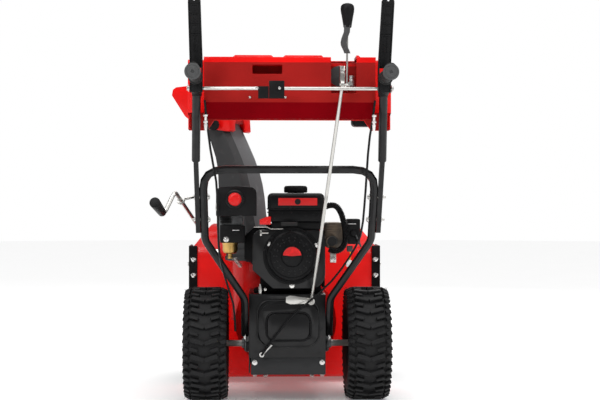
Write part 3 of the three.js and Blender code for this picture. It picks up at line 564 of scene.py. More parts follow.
SIDES = (("left", -1), ("right", 1))
BACK = (0, -1, 0)
COVER_FACE = -104.4
HOSE_ROUTE = (
    (109, -84, 566), (124, -84, 571), (141, -84, 568), (155, -84, 548),
    (163, -84, 520), (168, -84, 486), (166, -84, 462), (156, -84, 446),
    (140, -84, 439), (121, -82, 444),
)
LEVER_PIVOT = (238, -496, 868)
LEVER_LEAN = math.radians(31)


def second_finish(piece, finish, test):
    """Gives a second finish to the faces whose middle, in millimetres, and normal pass a test."""
    piece.data.materials.append(FINISHES[finish])
    extra = len(piece.data.materials) - 1
    for face in piece.data.polygons:
        if test((face.center - ZERO) / MM, face.normal):
            face.material_index = extra


def ring_path(low, high, radius, y, steps=6):
    """A rounded rectangle of points at a depth y: low and high are (x, z) corners."""
    points = []
    corners = ((high[0], high[1], 0), (low[0], high[1], 1), (low[0], low[1], 2), (high[0], low[1], 3))
    for x, z, quarter in corners:
        middle_x = x - radius if x == high[0] else x + radius
        middle_z = z - radius if z == high[1] else z + radius
        for i in range(steps + 1):
            turn = (quarter + i / steps) * math.pi / 2
            points.append((middle_x + radius * math.cos(turn), y, middle_z + radius * math.sin(turn)))
    return points


def closed_bead(name, points, radius, finish, body):
    """A bead that runs round and meets itself."""
    return wire(name, points, radius, finish, body, smooth=False, closed=True)


def lever_spot(side, across, up, out):
    """A place on a hand lever: up it from its pivot, and out towards the machine."""
    x, y, z = LEVER_PIVOT
    sin, cos = math.sin(LEVER_LEAN), math.cos(LEVER_LEAN)
    return (side * x + across, y - up * sin + out * cos, z + up * cos + out * sin)


def make_housing_bolts(sizes):
    """Wing bolts on the rear flanges and cap screws low on the back."""
    radius = sizes.bolt_radius
    for word, side in SIDES:
        places = [(side * 290, 291.5, z) for z in (396, 346)]
        bolts(f"flange_bolts_{word}", places, BACK, radius * 0.8, "chassis")
        bm = bmesh.new()
        for x, y, z in places:
            for hand in (-1, 1):
                middle = (x + hand * 5, y - 6, z + 2)
                block(bm, [c - s for c, s in zip(middle, (3.6, 1.2, 3))],
                      [c + s for c, s in zip(middle, (3.6, 1.2, 3))], 1.0)
        mesh_piece(f"flange_wings_{word}", bm, "bright_bolt", "chassis")
        places = [(side * 305.8, y, z) for y, z in ((330, 40), (330, 380), (590, 60), (590, 380))]
        bolts(f"plate_bolts_{word}", places, (side, 0, 0), radius, "chassis")
        places = [(side * 328, y, 55) for y in (400, 500)]
        bolts(f"skid_bolts_{word}", places, (side, 0, 0), radius, "chassis")
    places = [(x, 299.5, z) for x, z in ((-95, 27), (120, 27), (-61, 23), (87, 23))]
    bolts("back_bolts", places, BACK, radius * 0.75, "chassis")


def make_case_details(sizes):
    """The pressed rings, bolts, drain pipe and cable end on the back of the case."""
    closed_bead("cover_outer_ring", ring_path((-86, 166), (91, 300), 38, COVER_FACE), 2.2,
                "black_paint", "chassis")
    closed_bead("cover_inner_ring", ring_path((-60, 183), (66, 264), 24, COVER_FACE), 2.6,
                "satin_plastic", "chassis")
    bm = bmesh.new()
    panel = ring_path((-56, 187), (62, 260), 20, COVER_FACE + 0.4, 5)
    extruded(bm, panel, BACK, 1.6, 0.7)
    mesh_piece("cover_panel", bm, "black_paint", "chassis")
    radius = sizes.bolt_radius
    bolts("plate_screws", [(-93, -100.5, 121), (100, -100.5, 121)], BACK, radius * 0.8, "chassis")
    for word, side in SIDES:
        places = [(side * 119.2, -82, z) for z in (292, 242, 191)]
        bolts(f"case_bolts_{word}", places, (side, 0, 0), radius, "chassis")
        bm = bmesh.new()
        turned(bm, (side * 119.5, 0, 165), (side, 0, 0),
               [(0, 0), (24, 0), (24, 3), (20, 5), (14, 6), (14, 12), (10.4, 12), (10.4, 1), (0, 1)], 40)
        mesh_piece(f"axle_bush_{word}", bm, "cast_aluminium", "chassis")
    bm = bmesh.new()
    disc(bm, (-77, -88, 316.4), (0, 0, 1), 5.5, 22, 20, width=0.8)
    disc(bm, (-77, -88, 338), (0, 0, 1), 4, 7, 20, top=2.5, width=0.5)
    disc(bm, (-63, -96, 330), BACK, 4.5, 4, 6, width=0.5)
    mesh_piece("drain_pipe", bm, "zinc", "chassis")
    bm = bmesh.new()
    turned(bm, (-73, -112.5, 145), BACK, [(3.4, 0), (7, 0), (7.4, 1.5), (7, 3), (3.4, 3), (3.4, 0)], 28)
    mesh_piece("cable_eye", bm, "bright_bolt", "chassis")
    wire("cable_sleeve", [(-68, -113, 150), (-45, -113, 173)], 4, "bright_bolt", "chassis", False)


def make_handle_details(sizes):
    """Through bolts, pivot bolts, grip caps and cable adjusters."""
    radius = sizes.bolt_radius
    for word, side in SIDES:
        bm = bmesh.new()
        for y, z in ((-299, 594), (-262, 533)):
            disc(bm, (side * 212, y, z), (side, 0, 0), 3.4, 50, 16)
        mesh_piece(f"handle_studs_{word}", bm, "zinc", "chassis")
        places = [(y, z) for y, z in ((-299, 594), (-262, 533))]
        bolts(f"handle_nuts_{word}", [(side * 250.5, y, z) for y, z in places], (side, 0, 0), radius,
              "chassis")
        bolts(f"handle_heads_{word}", [(side * 218.5, y, z) for y, z in places], (-side, 0, 0), radius,
              "chassis")
        low, _ = (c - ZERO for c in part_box(f"grip_{word}"))
        end = (side * 238, low.y / MM - 0.4, low.z / MM + 20)
        bm = bmesh.new()
        turned(bm, end, (0, -1, -0.1),
               [(0, -1), (19.5, -1), (20, 0.5), (19, 2.4), (16, 3.2), (14.6, 2.2), (13, 3.2), (5, 3.6),
                (3.6, 2.4), (3.4, 0.6), (0, 0.6)], 44)
        mesh_piece(f"grip_cap_{word}", bm, "grey_rubber", "chassis")
        bolts(f"pivot_bolts_{word}", [(side * 256, -496, 868)], (side, 0, 0), radius, f"{lever_of(word)}")
        x = side * 217
        bm = bmesh.new()
        disc(bm, (x, -441, 800), (0, 0.2, -1), 3.6, 24, 16)
        disc(bm, (x, -444, 806), (0, 0.2, -1), 6.4, 5, 6, width=0.5)
        disc(bm, (x, -440, 790), (0, 0.2, -1), 6.4, 5, 6, width=0.5)
        disc(bm, (x, -438, 781), (0, 0.2, -1), 5, 16, 18, top=3.4)
        mesh_piece(f"cable_adjuster_{word}", bm, "bright_bolt", "chassis")


def lever_of(word):
    """The body of the hand lever on a side."""
    return "drive_lever" if word == "left" else "auger_lever"


def make_hand_levers():
    """The hand levers: a round-ended paddle with rims, and cheeks down to the pivot."""
    for word, side in SIDES:
        bm = bmesh.new()
        out = Vector(lever_spot(side, 0, 0, 1)) - Vector(lever_spot(side, 0, 0, 0))
        rounds = [(15.5 * math.cos(t), 222 + 15.5 * math.sin(t))
                  for t in (math.pi * i / 14 for i in range(15))]
        outline = [(-16.4, 44), (16.4, 44), *rounds]
        extruded(bm, [lever_spot(side, across, up, 26) for across, up in outline], out, 3.2, 0.8)
        for hand in (-1, 1):
            edge = [(hand * 16.4, 44), (hand * 15.5, 222), (hand * 12.4, 222), (hand * 13, 44)]
            extruded(bm, [lever_spot(side, across, up, 24) for across, up in edge], out, 13, 0.6)
            cheek = [(-9, -7), (2, -10), (62, 26), (62, 36), (40, 38), (-8, 8)]
            foot = [lever_spot(side, hand * 16.2, up, w) for up, w in cheek]
            extruded(bm, foot, (-hand, 0, 0), 3.2, 0.6)
        for up in (136, 163, 190, 216):
            bar = [(-12, up - 1.3), (12, up - 1.3), (12, up + 1.3), (-12, up + 1.3)]
            extruded(bm, [lever_spot(side, across, u, 24.6) for across, u in bar], out, 3, 0.4)
        rim = [(2.6, 0), (5, 0), (5, 1.2), (2.6, 1.2), (2.6, 0)]
        turned(bm, lever_spot(side, 0, 228, 25.2), out, rim, 20)
        mesh_piece(f"hand_lever_{word}", bm, "black_plastic", lever_of(word), (lever_of(word),))
        bm = bmesh.new()
        disc(bm, lever_spot(side, 0, 228, 25), -out, 2.6, 0.6, 16)
        mesh_piece(f"lever_hole_{word}", bm, "white_mark", lever_of(word))


def make_interlock():
    """The two cross rods, with the black cams that meet in the middle."""
    for node in ("drive_interlock_rod", "auger_interlock_rod"):
        rounded = rounded_node(node, "zinc", 0.5)
        second_finish(rounded, "black_plastic", lambda c, n: (
            abs(c.x) < 110 and math.hypot(c.y - LEVER_PIVOT[1], c.z - LEVER_PIVOT[2]) > 4.8))
    bolts("cam_bolts", [(-86, -506, 868)], BACK, 4, "drive_lever", washer=False)
    bolts("cam_pin", [(-28, -506, 868)], BACK, 4, "auger_lever", washer=False)


def make_speed_knob():
    """The domed knob of the speed lever."""
    centre = node_middle("speed_knob")
    bm = bmesh.new()
    turned(bm, (centre.x, centre.y, centre.z - 32), (0, 0, 1),
           [(0, 0), (9, 0), (10.5, 1.5), (12, 12), (15, 30), (17.4, 42), (18, 50), (16.8, 57), (12.6, 61.6),
            (6, 63.6), (0, 64)], 40)
    mesh_piece("speed_knob_domed", bm, "black_plastic", "speed_lever", ("speed_knob",))


def make_speed_bar():
    """The speed lever's flat grey bar, bent aside half way up."""
    half_width, thickness = 8, 3.6
    foot_y, foot_z, lean = -401, 920, 1 / 6
    middle = [(150, 968), (147, 976), (141, 988), (140, 996), (142, 1006), (148, 1022), (149, 1040)]
    edges = [
        [(x + side * half_width, foot_y - (z - foot_z) * lean, z) for x, z in middle]
        for side in (-1, 1)
    ]
    bm = bmesh.new()
    extruded(bm, edges[0] + edges[1][::-1], BACK, thickness, 0.7)
    mesh_piece("speed_bar", bm, "grey_rubber", "speed_lever")


def make_lever_details():
    """Raised pads and long ribs on the hand levers."""
    for word, side in SIDES:
        bm = bmesh.new()
        spans = [(142, 160, 0, 7.5), (167, 187, 0, 7.5), (193, 212, 0, 6.5)]
        spans += [(88, 132, hand * 4.4, 2.6) for hand in (-1, 1)]
        for low, high, across, half in spans:
            outline = [lever_spot(side, across + dx, up, 26)
                       for dx, up in ((-half, low), (half, low), (half, high), (-half, high))]
            normal = Vector(lever_spot(side, 0, 0, -1)) - Vector(lever_spot(side, 0, 0, 0))
            extruded(bm, outline, normal, 1.2, 0.5)
        mesh_piece(f"lever_pads_{word}", bm, "satin_plastic", lever_of(word))


def make_console_details():
    """The console with painted shade on its rear face and darker painted shade on its under side, the shift
    gate's plate and bracket, and screws.
    """
    console = rounded_node("console", "red_paint", 3.0, levels=(941,))
    # Painted shade: faces of the console that point down take the darker red.
    second_finish(console, "painted_shade_red_paint", lambda c, n: n.z < -0.25 and c.y < -350)
    # Painted shade: the console's rear face, below the cut at 941 mm, takes a deeper red.
    second_finish(console, "painted_half_shade_red_paint", lambda c, n: (
        n.y < -0.8 and n.z > -0.25 and c.z < 941 and abs(c.x) < 190))
    bm = bmesh.new()
    outline = [(131, -386, 884), (131, -386, 938)]
    outline += [(131 - 28 * math.sin(t), -386, 911 + 27 * math.cos(t))
                for t in (math.pi * i / 12 for i in range(1, 12))]
    extruded(bm, outline, BACK, 3, 0.6)
    mesh_piece("gate_plate", bm, "grey_rubber", "chassis")
    bm = bmesh.new()
    block(bm, (156, -392, 884), (170, -386, 912), 1.2)
    block(bm, (132, -386, 884), (146, -383, 938), 0.8)
    mesh_piece("gate_bracket", bm, "zinc", "chassis")
    bolts("gate_bolts", [(163, -392.2, 904), (139, -386.2, 925)], BACK, 4.5, "chassis")
    places = [(x, -437, 851) for x in (-103, -12)]
    bolts("console_screws", places, BACK, 3.2, "chassis", washer=False)


def make_recoil_cover():
    """The starter's round cover: rings, hub and a plain two-tone badge."""
    centre = node_middle("recoil_cover")
    foot = (centre.x, -116.6, centre.z)
    bm = bmesh.new()
    turned(bm, foot, BACK, [
        (0, 0), (82, 0), (82, 4), (80.5, 6), (77, 6.2), (75.5, 5), (73, 5), (71, 9), (66, 14), (63.5, 15),
        (62.5, 14), (61, 14), (60, 15), (40, 17), (34, 18.4), (31, 18.4), (30, 17), (28.5, 17), (28, 19),
        (26, 20.4), (0, 20.6)], 72)
    cover = mesh_piece("recoil_cover_rings", bm, "satin_plastic", "chassis", ("recoil_cover",))
    second_finish(cover, "label_red", lambda c, n: (
        math.hypot(c.x - centre.x, c.z - centre.z) < 26 and c.z > centre.z + 2 and c.y < -136))
    bolts("shroud_bolts", [(-50, -121.4, 460), (84, -121.4, 458)], BACK, 5, "chassis")
    bolts("shroud_low_bolt", [(centre.x, -116.2, 342)], BACK, 5, "chassis")


def make_engine_details():
    """The steel rail and brackets above the starter, and cooling fins."""
    wire("shroud_rail", [(-95, -125.5, 509), (-58, -125.5, 509), (-48, -123, 503.5), (34, -117.5, 503.5)],
         1.2, "zinc", "chassis", False)
    bm = bmesh.new()
    block(bm, (-78, -119, 490), (-54, -116.3, 494), 0.6)
    block(bm, (-78, -119, 484), (-73, -116.3, 500), 0.6)
    mesh_piece("choke_link", bm, "zinc", "chassis")
    bm = bmesh.new()
    for i in range(7):
        z = 400 + i * 14
        block(bm, (-120, 76.2, z), (100, 90, z + 4), 0.8)
    for i in range(6):
        y = -20 + i * 15
        block(bm, (104.2, y, 330), (112, y + 4, 436), 0.8)
    mesh_piece("cooling_fins", bm, "black_casting", "chassis")
    bm = bmesh.new()
    centre = node_middle("recoil_cover")
    for i in range(18):
        turn = math.tau * i / 18
        for radius in (44, 52):
            x = centre.x + radius * math.cos(turn)
            z = centre.z + radius * math.sin(turn)
            disc(bm, (x, -131.6 - (60 - radius) * 0.1, z), BACK, 2.4, 1.4, 12)
    mesh_piece("recoil_slots", bm, "black_paint", "chassis")


def make_tank():
    """The tank with its mount, seams and plain label, and the ribbed cap."""
    bm = bmesh.new()
    block(bm, (-54, -112, 523.3), (104, 52, 560), 5, 3)
    block(bm, (-56, -114, 552), (106, 54, 606), 13, 4)
    disc(bm, (26, -30, 604), (0, 0, 1), 24, 7, 40, width=0.8)
    mesh_piece("fuel_tank_shell", bm, "satin_plastic", "chassis", ("fuel_tank",))
    bm = bmesh.new()
    block(bm, (-44, -104, 500.6), (98, 40, 523), 2)
    mesh_piece("tank_mount", bm, "black_plastic", "chassis")
    bm = bmesh.new()
    block(bm, (-58, -116, 558.5), (108, 56, 562), 1.4)
    block(bm, (-57.2, -115.2, 549), (107.2, 55.2, 551), 0.9)
    mesh_piece("tank_seam", bm, "satin_plastic", "chassis")
    bm = bmesh.new()
    block(bm, (-26, -115.4, 570.5), (85, -113.6, 591.5), 0.6)
    mesh_piece("tank_label", bm, "label_red", "chassis")
    bm = bmesh.new()
    disc(bm, (29.5, -115.2, 581), BACK, 8.5, 1.2, 28)
    mesh_piece("tank_label_disc", bm, "black_paint", "chassis")
    centre = node_middle("fuel_cap")
    foot = (centre.x, centre.y, 607.5)
    bm = bmesh.new()
    turned(bm, foot, (0, 0, 1), [(26, 0), (32, 0), (33, 1.5), (33, 16), (30.5, 19.4), (21, 20.2), (19, 19),
                                 (0, 19), (0, 15), (26, 15), (26, 0)], 60)
    for i in range(44):
        turn = math.tau * i / 44
        x, y = (centre.x + 33 * math.cos(turn), centre.y + 33 * math.sin(turn))
        disc(bm, (x, y, 609), (0, 0, 1), 1.2, 14, 8, width=0.3)
    block(bm, (centre.x - 17, centre.y - 3, 625), (centre.x + 17, centre.y + 3, 628), 1.2)
    mesh_piece("fuel_cap_ribbed", bm, "black_plastic", "fuel_cap", ("fuel_cap",))


def make_primer():
    """The red primer dome in its collar."""
    centre = node_middle("primer_bulb")
    bm = bmesh.new()
    turned(bm, (centre.x, -87.5, centre.z), BACK,
           [(0, 0), (19.2, 0), (19.4, 12.5), (18.6, 15.4), (15.5, 18), (9, 19.8), (0, 20.4)], 44)
    mesh_piece("primer_dome", bm, "red_plastic", "primer_bulb", ("primer_bulb",))
    bm = bmesh.new()
    turned(bm, (centre.x, -100.2, centre.z), BACK,
           [(20.6, 0), (26, 0), (26, 2.6), (24.6, 3.8), (22, 3.8), (20.6, 2.6), (20.6, 0)], 44)
    mesh_piece("primer_collar", bm, "black_paint", "chassis")


def make_intake():
    """The intake box with its fins, mark and clip, the float bowl and the spring."""
    bm = bmesh.new()
    block(bm, (-194, -62, 462), (-121, -50.6, 514), 3)
    for i in range(5):
        z = 519 + i * 4.4
        block(bm, (-194, -66, z), (-160, -52, z + 2), 0.6)
    mesh_piece("intake_box", bm, "black_plastic", "chassis")
    bm = bmesh.new()
    block(bm, (-158, -63.4, 497.5), (-138, -61.8, 499.5), 0.4)
    mesh_piece("intake_mark", bm, "white_mark", "chassis")
    bolts("intake_bolt", [(-176, -62.2, 472)], BACK, 5.5, "chassis")
    bm = bmesh.new()
    block(bm, (-205, -101, 555), (-196.5, -96, 575), 1.0)
    mesh_piece("cover_clip", bm, "zinc", "chassis")
    bm = bmesh.new()
    turned(bm, (-165, -28, 421), (0, 0, 1), [
        (0, 0), (5, 0), (6, 3), (6, 8), (13, 9), (19, 12), (21.6, 18), (22, 36), (23, 38), (23, 44),
        (21, 46), (0, 46)], 40)
    disc(bm, (-165, -28, 415), (0, 0, 1), 8, 9, 6, width=0.6)
    mesh_piece("float_bowl", bm, "brass", "chassis")
    turns = 7
    coil = [(-152 + i * 0.3 + 7 * math.cos(i * 0.7), -34 + 7 * math.sin(i * 0.7), 418 - i * 0.45)
            for i in range(int(turns * math.tau / 0.7))]
    wire("governor_spring", coil, 0.9, "zinc", "chassis", False)


def curved_spots(line, steps):
    """Close points on a smooth curve through the points of a line."""
    spots = []
    for i in range(len(line) - 1):
        before = line[max(i - 1, 0)]
        after = line[min(i + 2, len(line) - 1)]
        a, b = line[i], line[i + 1]
        reach = (b - a).length / 3
        first = a + (b - before).normalized() * reach
        last = b - (after - a).normalized() * reach
        for k in range(steps):
            t = k / steps
            spots.append(a * (1 - t) ** 3 + first * 3 * t * (1 - t) ** 2
                         + last * 3 * t * t * (1 - t) + b * t ** 3)
    spots.append(line[-1])
    return spots


def make_exhaust_details():
    """Muffler ribs and mouth, the ribbed hose, and the electric starter's fittings."""
    bm = bmesh.new()
    for i in range(4):
        block(bm, (112, -51.5, 490 + i * 7), (168, -49.6, 493 + i * 7), 0.7)
    mesh_piece("muffler_ribs", bm, "exhaust_steel", "chassis")
    bm = bmesh.new()
    disc(bm, (130, -64.6, 466), BACK, 13.2, 0.6, 32)
    mesh_piece("muffler_mouth", bm, "black_paint", "chassis")
    bm = bmesh.new()
    block(bm, (124, -70, 405), (142, -66, 440), 1.2)
    mesh_piece("muffler_bracket", bm, "zinc", "chassis")
    bolts("muffler_bolt", [(133, -70.3, 415)], BACK, 6, "chassis")
    spots = curved_spots([Vector(p) for p in HOSE_ROUTE], 24)
    bm = bmesh.new()
    rib = [(6.5, -2), (7.4, -2), (9, -0.8), (9, 0.8), (7.4, 2), (6.5, 2), (6.5, -2)]
    gone, pitch = 0.0, 4.2
    for a, b in zip(spots, spots[1:]):
        gone += (b - a).length
        if gone >= pitch:
            gone -= pitch
            turned(bm, b, b - a, rib, 18)
    mesh_piece("hose_ribs", bm, "satin_plastic", "chassis", ("starter_conduit",))
    core = [tuple(p) for p in spots[::6]] + [tuple(spots[-1])]
    wire("hose_core", core, 7.6, "black_plastic", "chassis", False)
    bm = bmesh.new()
    block(bm, (176, -66.8, 516), (200, -65.6, 517.6), 0.3)
    mesh_piece("starter_mark", bm, "white_mark", "chassis")
    bm = bmesh.new()
    block(bm, (174, -62, 436), (191, -50, 453), 2)
    mesh_piece("plug_socket", bm, "grey_rubber", "chassis")
    wire("ignition_wire", [(183, -58, 437), (184, -60, 425), (182, -58, 412)], 1.5, "yellow_wire", "chassis")
    bm = bmesh.new()
    block(bm, (172, -62, 392), (188, -54, 412), 2)
    mesh_piece("wire_fitting", bm, "white_mark", "chassis")
    wire("choke_rod", [(194, -67, 494), (204, -70, 474), (214, -70, 450)], 2.6, "grey_rubber", "chassis")


def make_chute_details():
    """The chute, with painted light that makes it paler on the side that faces out, and the deflector's pivot
    knobs.
    """
    chute = rounded_node("chute", "chute_plastic", 1.2)
    # Painted light: high faces of the chute that point to +X take the paler plastic.
    second_finish(chute, "painted_light_chute_plastic", lambda c, n: n.x > 0.45 and c.z > 440)
    hinge = next(j for j in frame["joints"] if j["name"] == "deflector_tilt")
    pivot = (Vector(hinge["pos_m"]) - ZERO) / MM
    axis = Vector(hinge["axis"]).normalized()
    for word, side in (("near", -1), ("far", 1)):
        foot = pivot + axis * side * 66
        bm = bmesh.new()
        turned(bm, foot, axis * side, [(0, 0), (15, 0), (17, 2), (17, 9), (15.5, 12), (12, 13), (0, 13)], 12)
        disc(bm, foot + axis * side * 12.6, axis * side, 4.5, 2.4, 6, width=0.4)
        mesh_piece(f"deflector_knob_{word}", bm, "black_plastic", "deflector")
    bm = bmesh.new()
    foot = Vector((-222, 178, 818))
    turned(bm, foot, BACK, [(0, 0), (17, 0), (18.5, 1.5), (18.5, 8), (17, 10), (5, 10.5), (4, 9), (0, 9)], 10)
    mesh_piece("deflector_stop", bm, "black_plastic", "deflector")


def make_hairs(side, count, rng):
    """Thin moulding hairs that stand out of a tyre's shoulders."""
    centre = node_middle(f"tyre_{side}")
    bm = bmesh.new()
    for _ in range(count):
        turn = rng.uniform(0, math.tau)
        hand = rng.choice((-1, 1))
        out = Vector((0, math.cos(turn), math.sin(turn)))
        foot = centre + out * rng.uniform(150, 160) + Vector((hand * rng.uniform(55, 60), 0, 0))
        tip = out * rng.uniform(0.5, 1) + Vector((hand * rng.uniform(0.3, 1.0), 0, 0))
        disc(bm, foot, tip, 0.55, rng.uniform(5, 9), 4, top=0.25)
    mesh_piece(f"tyre_hairs_{side}", bm, "tread_rubber", "running_gear")


# ------------------------------------------------------------------- stage


def make_camera(settings):
    """The view from behind, at the height of the handles."""
    data = bpy.data.cameras.new("camera")
    data.lens = settings.lens
    data.sensor_width = 36
    camera = bpy.data.objects.new("camera", data)
    camera.location = at(-71, -3500, 586)
    camera.rotation_euler = (math.radians(90), 0, math.radians(-1.81))
    bpy.context.scene.collection.objects.link(camera)
    bpy.context.scene.camera = camera


def make_lamp(name, place, target, size, power):
    """A soft square lamp that faces its target, in metres."""
    data = bpy.data.lights.new(name, "AREA")
    data.size = size
    data.energy = power
    lamp = bpy.data.objects.new(name, data)
    lamp.location = place
    lamp.rotation_euler = (Vector(place) - Vector(target)).to_track_quat("Z", "Y").to_euler()
    bpy.context.scene.collection.objects.link(lamp)


def make_sun(strength):
    """A wide, soft light from above, which keeps the floor pale."""
    data = bpy.data.lights.new("sun", "SUN")
    data.energy = strength
    data.angle = math.radians(70)
    sun = bpy.data.objects.new("sun", data)
    sun.rotation_euler = (math.radians(14), 0, 0)
    bpy.context.scene.collection.objects.link(sun)


def make_floor():
    """A round pale floor."""
    bm = bmesh.new()
    bmesh.ops.create_circle(bm, cap_ends=True, segments=96, radius=14)
    mesh = bpy.data.meshes.new("floor")
    bm.to_mesh(mesh)
    bm.free()
    floor = bpy.data.objects.new("floor", mesh)
    bpy.context.scene.collection.objects.link(floor)
    recipe = Recipe("floor_paper", "", roughness=0.95)
    paper = recipe.noise(3, 2)
    recipe.set(Base_Color=recipe.colours(paper, (0.0, (0.9, 0.9, 0.9)), (1.0, (0.94, 0.94, 0.94))))
    recipe.set(Emission_Color=(1, 1, 1, 1), Emission_Strength=0.14)
    floor.data.materials.append(recipe.material)


def make_world(strength):
    """An even white room."""
    world = bpy.data.worlds.new("room")
    world.use_nodes = True
    nodes = world.node_tree.nodes
    room = nodes["Background"]
    room.inputs["Strength"].default_value = strength
    room.inputs["Color"].default_value = (1, 1, 1, 1)
    paper = nodes.new("ShaderNodeBackground")
    paper.inputs["Color"].default_value = (1, 1, 1, 1)
    seen = nodes.new("ShaderNodeLightPath")
    mix = nodes.new("ShaderNodeMixShader")
    links = world.node_tree.links
    links.new(seen.outputs["Is Camera Ray"], mix.inputs["Fac"])
    links.new(room.outputs[0], mix.inputs[1])
    links.new(paper.outputs[0], mix.inputs[2])
    links.new(mix.outputs[0], nodes["World Output"].inputs["Surface"])
    bpy.context.scene.world = world
    bpy.context.scene.view_settings.view_transform = "Standard"


# ------------------------------------------------------------------ add-on


class ColourSettings(bpy.types.PropertyGroup):
    """Colours that give the machine its look."""

    red: FloatVectorProperty(
        name="Red paint", description="Housing, console and deflector", subtype="COLOR",
        default=(0.8, 0.005, 0.004), min=0, max=1,
    )
    chute: FloatVectorProperty(
        name="Chute", description="Moulded plastic of the chute", subtype="COLOR",
        default=(0.03, 0.03, 0.031), min=0, max=1,
    )
    tyre: FloatVectorProperty(
        name="Tyre", description="Rubber of the tyres", subtype="COLOR",
        default=(0.005, 0.005, 0.0055), min=0, max=1,
    )


class SizeSettings(bpy.types.PropertyGroup):
    """Counts and sizes of the fine pieces."""

    lug_rows: IntProperty(
        name="Lug rows", description="Rows of lugs round a tyre", default=44, min=12, max=80,
    )
    hairs: IntProperty(name="Hairs", description="Moulding hairs on a tyre", default=110, min=0, max=400)
    bolt_radius: FloatProperty(
        name="Bolt head", description="Radius of a bolt head across its corners, in millimetres",
        default=6.5, min=3, max=12,
    )


class StageSettings(bpy.types.PropertyGroup):
    """Camera and light."""

    lens: FloatProperty(
        name="Lens", description="Focal length of the camera", default=71.28, min=20, max=200,
        unit="CAMERA",
    )
    lamp_power: FloatProperty(
        name="Lamp power", description="Power of the main lamp", default=55, min=0, unit="POWER",
    )
    sun: FloatProperty(name="Sun", description="Strength of the even light from above", default=2.1, min=0)
    sky: FloatProperty(name="Room light", description="Brightness of the white room", default=0.25, min=0)


class OBJECT_OT_blower_finishes(bpy.types.Operator):
    """Make the finishes"""

    bl_idname = "object.blower_finishes"
    bl_label = "Finishes"

    def execute(self, context):
        make_finishes(context.scene.blower_colours)
        return {"FINISHED"}


class OBJECT_OT_blower_stage(bpy.types.Operator):
    """Make the camera, the lamps and the floor"""

    bl_idname = "object.blower_stage"
    bl_label = "Stage"

    def execute(self, context):
        settings = context.scene.blower_stage
        make_camera(settings)
        make_world(settings.sky)
        make_floor()
        make_sun(settings.sun)
        make_lamp("key_lamp", (-2.2, -3.2, 3.0), (0, 0, 0.5), 1.4, settings.lamp_power)
        make_lamp("fill_lamp", (2.6, -2.4, 2.2), (0, 0, 0.5), 1.6, settings.lamp_power * 0.6)
        make_lamp("back_lamp", (0.8, 2.8, 2.6), (0, 0, 0.5), 2.0, settings.lamp_power * 0.6)
        return {"FINISHED"}


class OBJECT_OT_blower_housing(bpy.types.Operator):
    """Make the auger housing"""

    bl_idname = "object.blower_housing"
    bl_label = "Auger housing"

    def execute(self, context):
        rounded_nodes(HOUSING_NODES)
        make_housing_bolts(context.scene.blower_sizes)
        return {"FINISHED"}


class OBJECT_OT_blower_case(bpy.types.Operator):
    """Make the case with its covers"""

    bl_idname = "object.blower_case"
    bl_label = "Tractor case"

    def execute(self, context):
        rounded_nodes(CASE_NODES)
        make_case_details(context.scene.blower_sizes)
        return {"FINISHED"}


class OBJECT_OT_blower_handles(bpy.types.Operator):
    """Make the handle tubes and grips"""

    bl_idname = "object.blower_handles"
    bl_label = "Handles"

    def execute(self, context):
        rounded_nodes(HANDLE_NODES)
        make_handle_details(context.scene.blower_sizes)
        return {"FINISHED"}


class OBJECT_OT_blower_console(bpy.types.Operator):
    """Make the console and its lamp"""

    bl_idname = "object.blower_console"
    bl_label = "Console"

    def execute(self, context):
        rounded_nodes(CONSOLE_NODES)
        make_console_details()
        return {"FINISHED"}


class OBJECT_OT_blower_levers(bpy.types.Operator):
    """Make the levers, rods and cables"""

    bl_idname = "object.blower_levers"
    bl_label = "Levers and rods"

    def execute(self, context):
        rounded_nodes(LEVER_NODES)
        rounded_nodes(CABLE_NODES)
        make_hand_levers()
        make_interlock()
        make_speed_knob()
        make_speed_bar()
        make_lever_details()
        return {"FINISHED"}


class OBJECT_OT_blower_engine(bpy.types.Operator):
    """Make the engine and its starter"""

    bl_idname = "object.blower_engine"
    bl_label = "Engine"

    def execute(self, context):
        rounded_nodes(ENGINE_NODES)
        make_recoil_cover()
        make_engine_details()
        return {"FINISHED"}


class OBJECT_OT_blower_fuel(bpy.types.Operator):
    """Make the tank, the carburettor and their covers"""

    bl_idname = "object.blower_fuel"
    bl_label = "Fuel and air"

    def execute(self, context):
        rounded_nodes(FUEL_NODES)
        make_tank()
        make_primer()
        make_intake()
        return {"FINISHED"}


class OBJECT_OT_blower_exhaust(bpy.types.Operator):
    """Make the muffler and the electric starter"""

    bl_idname = "object.blower_exhaust"
    bl_label = "Muffler and starter"

    def execute(self, context):
        rounded_nodes(EXHAUST_NODES)
        make_exhaust_details()
        return {"FINISHED"}


class OBJECT_OT_blower_wheels(bpy.types.Operator):
    """Make the wheels"""

    bl_idname = "object.blower_wheels"
    bl_label = "Wheels"

    def execute(self, context):
        rounded_nodes(WHEEL_NODES)
        rng = random.Random(7)
        for side in ("left", "right"):
            make_tyre(side, context.scene.blower_sizes)
            make_hairs(side, context.scene.blower_sizes.hairs, rng)
        return {"FINISHED"}


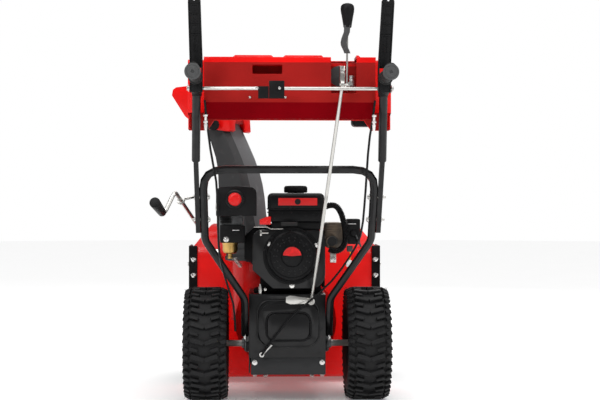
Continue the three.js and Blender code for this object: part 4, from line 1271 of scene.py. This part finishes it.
class OBJECT_OT_blower_augers(bpy.types.Operator):
    """Make the augers, the impeller and the drive"""

    bl_idname = "object.blower_augers"
    bl_label = "Augers and drive"

    def execute(self, context):
        rounded_nodes(DRIVE_NODES)
        return {"FINISHED"}


class OBJECT_OT_blower_chute(bpy.types.Operator):
    """Make the chute, its deflector and its crank"""

    bl_idname = "object.blower_chute"
    bl_label = "Chute"

    def execute(self, context):
        rounded_nodes(CHUTE_NODES)
        make_chute_details()
        return {"FINISHED"}


STEPS = (
    OBJECT_OT_blower_finishes, OBJECT_OT_blower_stage, OBJECT_OT_blower_housing,
    OBJECT_OT_blower_case, OBJECT_OT_blower_handles, OBJECT_OT_blower_console,
    OBJECT_OT_blower_levers, OBJECT_OT_blower_engine, OBJECT_OT_blower_fuel,
    OBJECT_OT_blower_exhaust, OBJECT_OT_blower_wheels, OBJECT_OT_blower_augers,
    OBJECT_OT_blower_chute,
)


class VIEW3D_PT_blower(bpy.types.Panel):
    """Lists the steps and their settings"""

    bl_label = "Snow blower"
    bl_idname = "VIEW3D_PT_blower"
    bl_space_type = "VIEW_3D"
    bl_region_type = "UI"
    bl_category = "Snow blower"

    def draw(self, context):
        layout = self.layout
        scene = context.scene
        for settings in (scene.blower_colours, scene.blower_sizes, scene.blower_stage):
            for name in settings.__annotations__:
                layout.prop(settings, name)
        for step in STEPS:
            layout.operator(step.bl_idname)


GROUPS = {"blower_colours": ColourSettings, "blower_sizes": SizeSettings, "blower_stage": StageSettings}


def register():
    """Adds the classes and their settings."""
    for made in (*GROUPS.values(), *STEPS, VIEW3D_PT_blower):
        bpy.utils.register_class(made)
    for name, group in GROUPS.items():
        setattr(bpy.types.Scene, name, PointerProperty(type=group))


def unregister():
    """Takes them away again."""
    for name in GROUPS:
        delattr(bpy.types.Scene, name)
    for made in reversed((*GROUPS.values(), *STEPS, VIEW3D_PT_blower)):
        bpy.utils.unregister_class(made)


def main():
    """Builds every piece."""
    register()
    for step in STEPS:
        group, name = step.bl_idname.split(".")
        getattr(getattr(bpy.ops, group), name)()


if __name__ == "__main__":
    main()
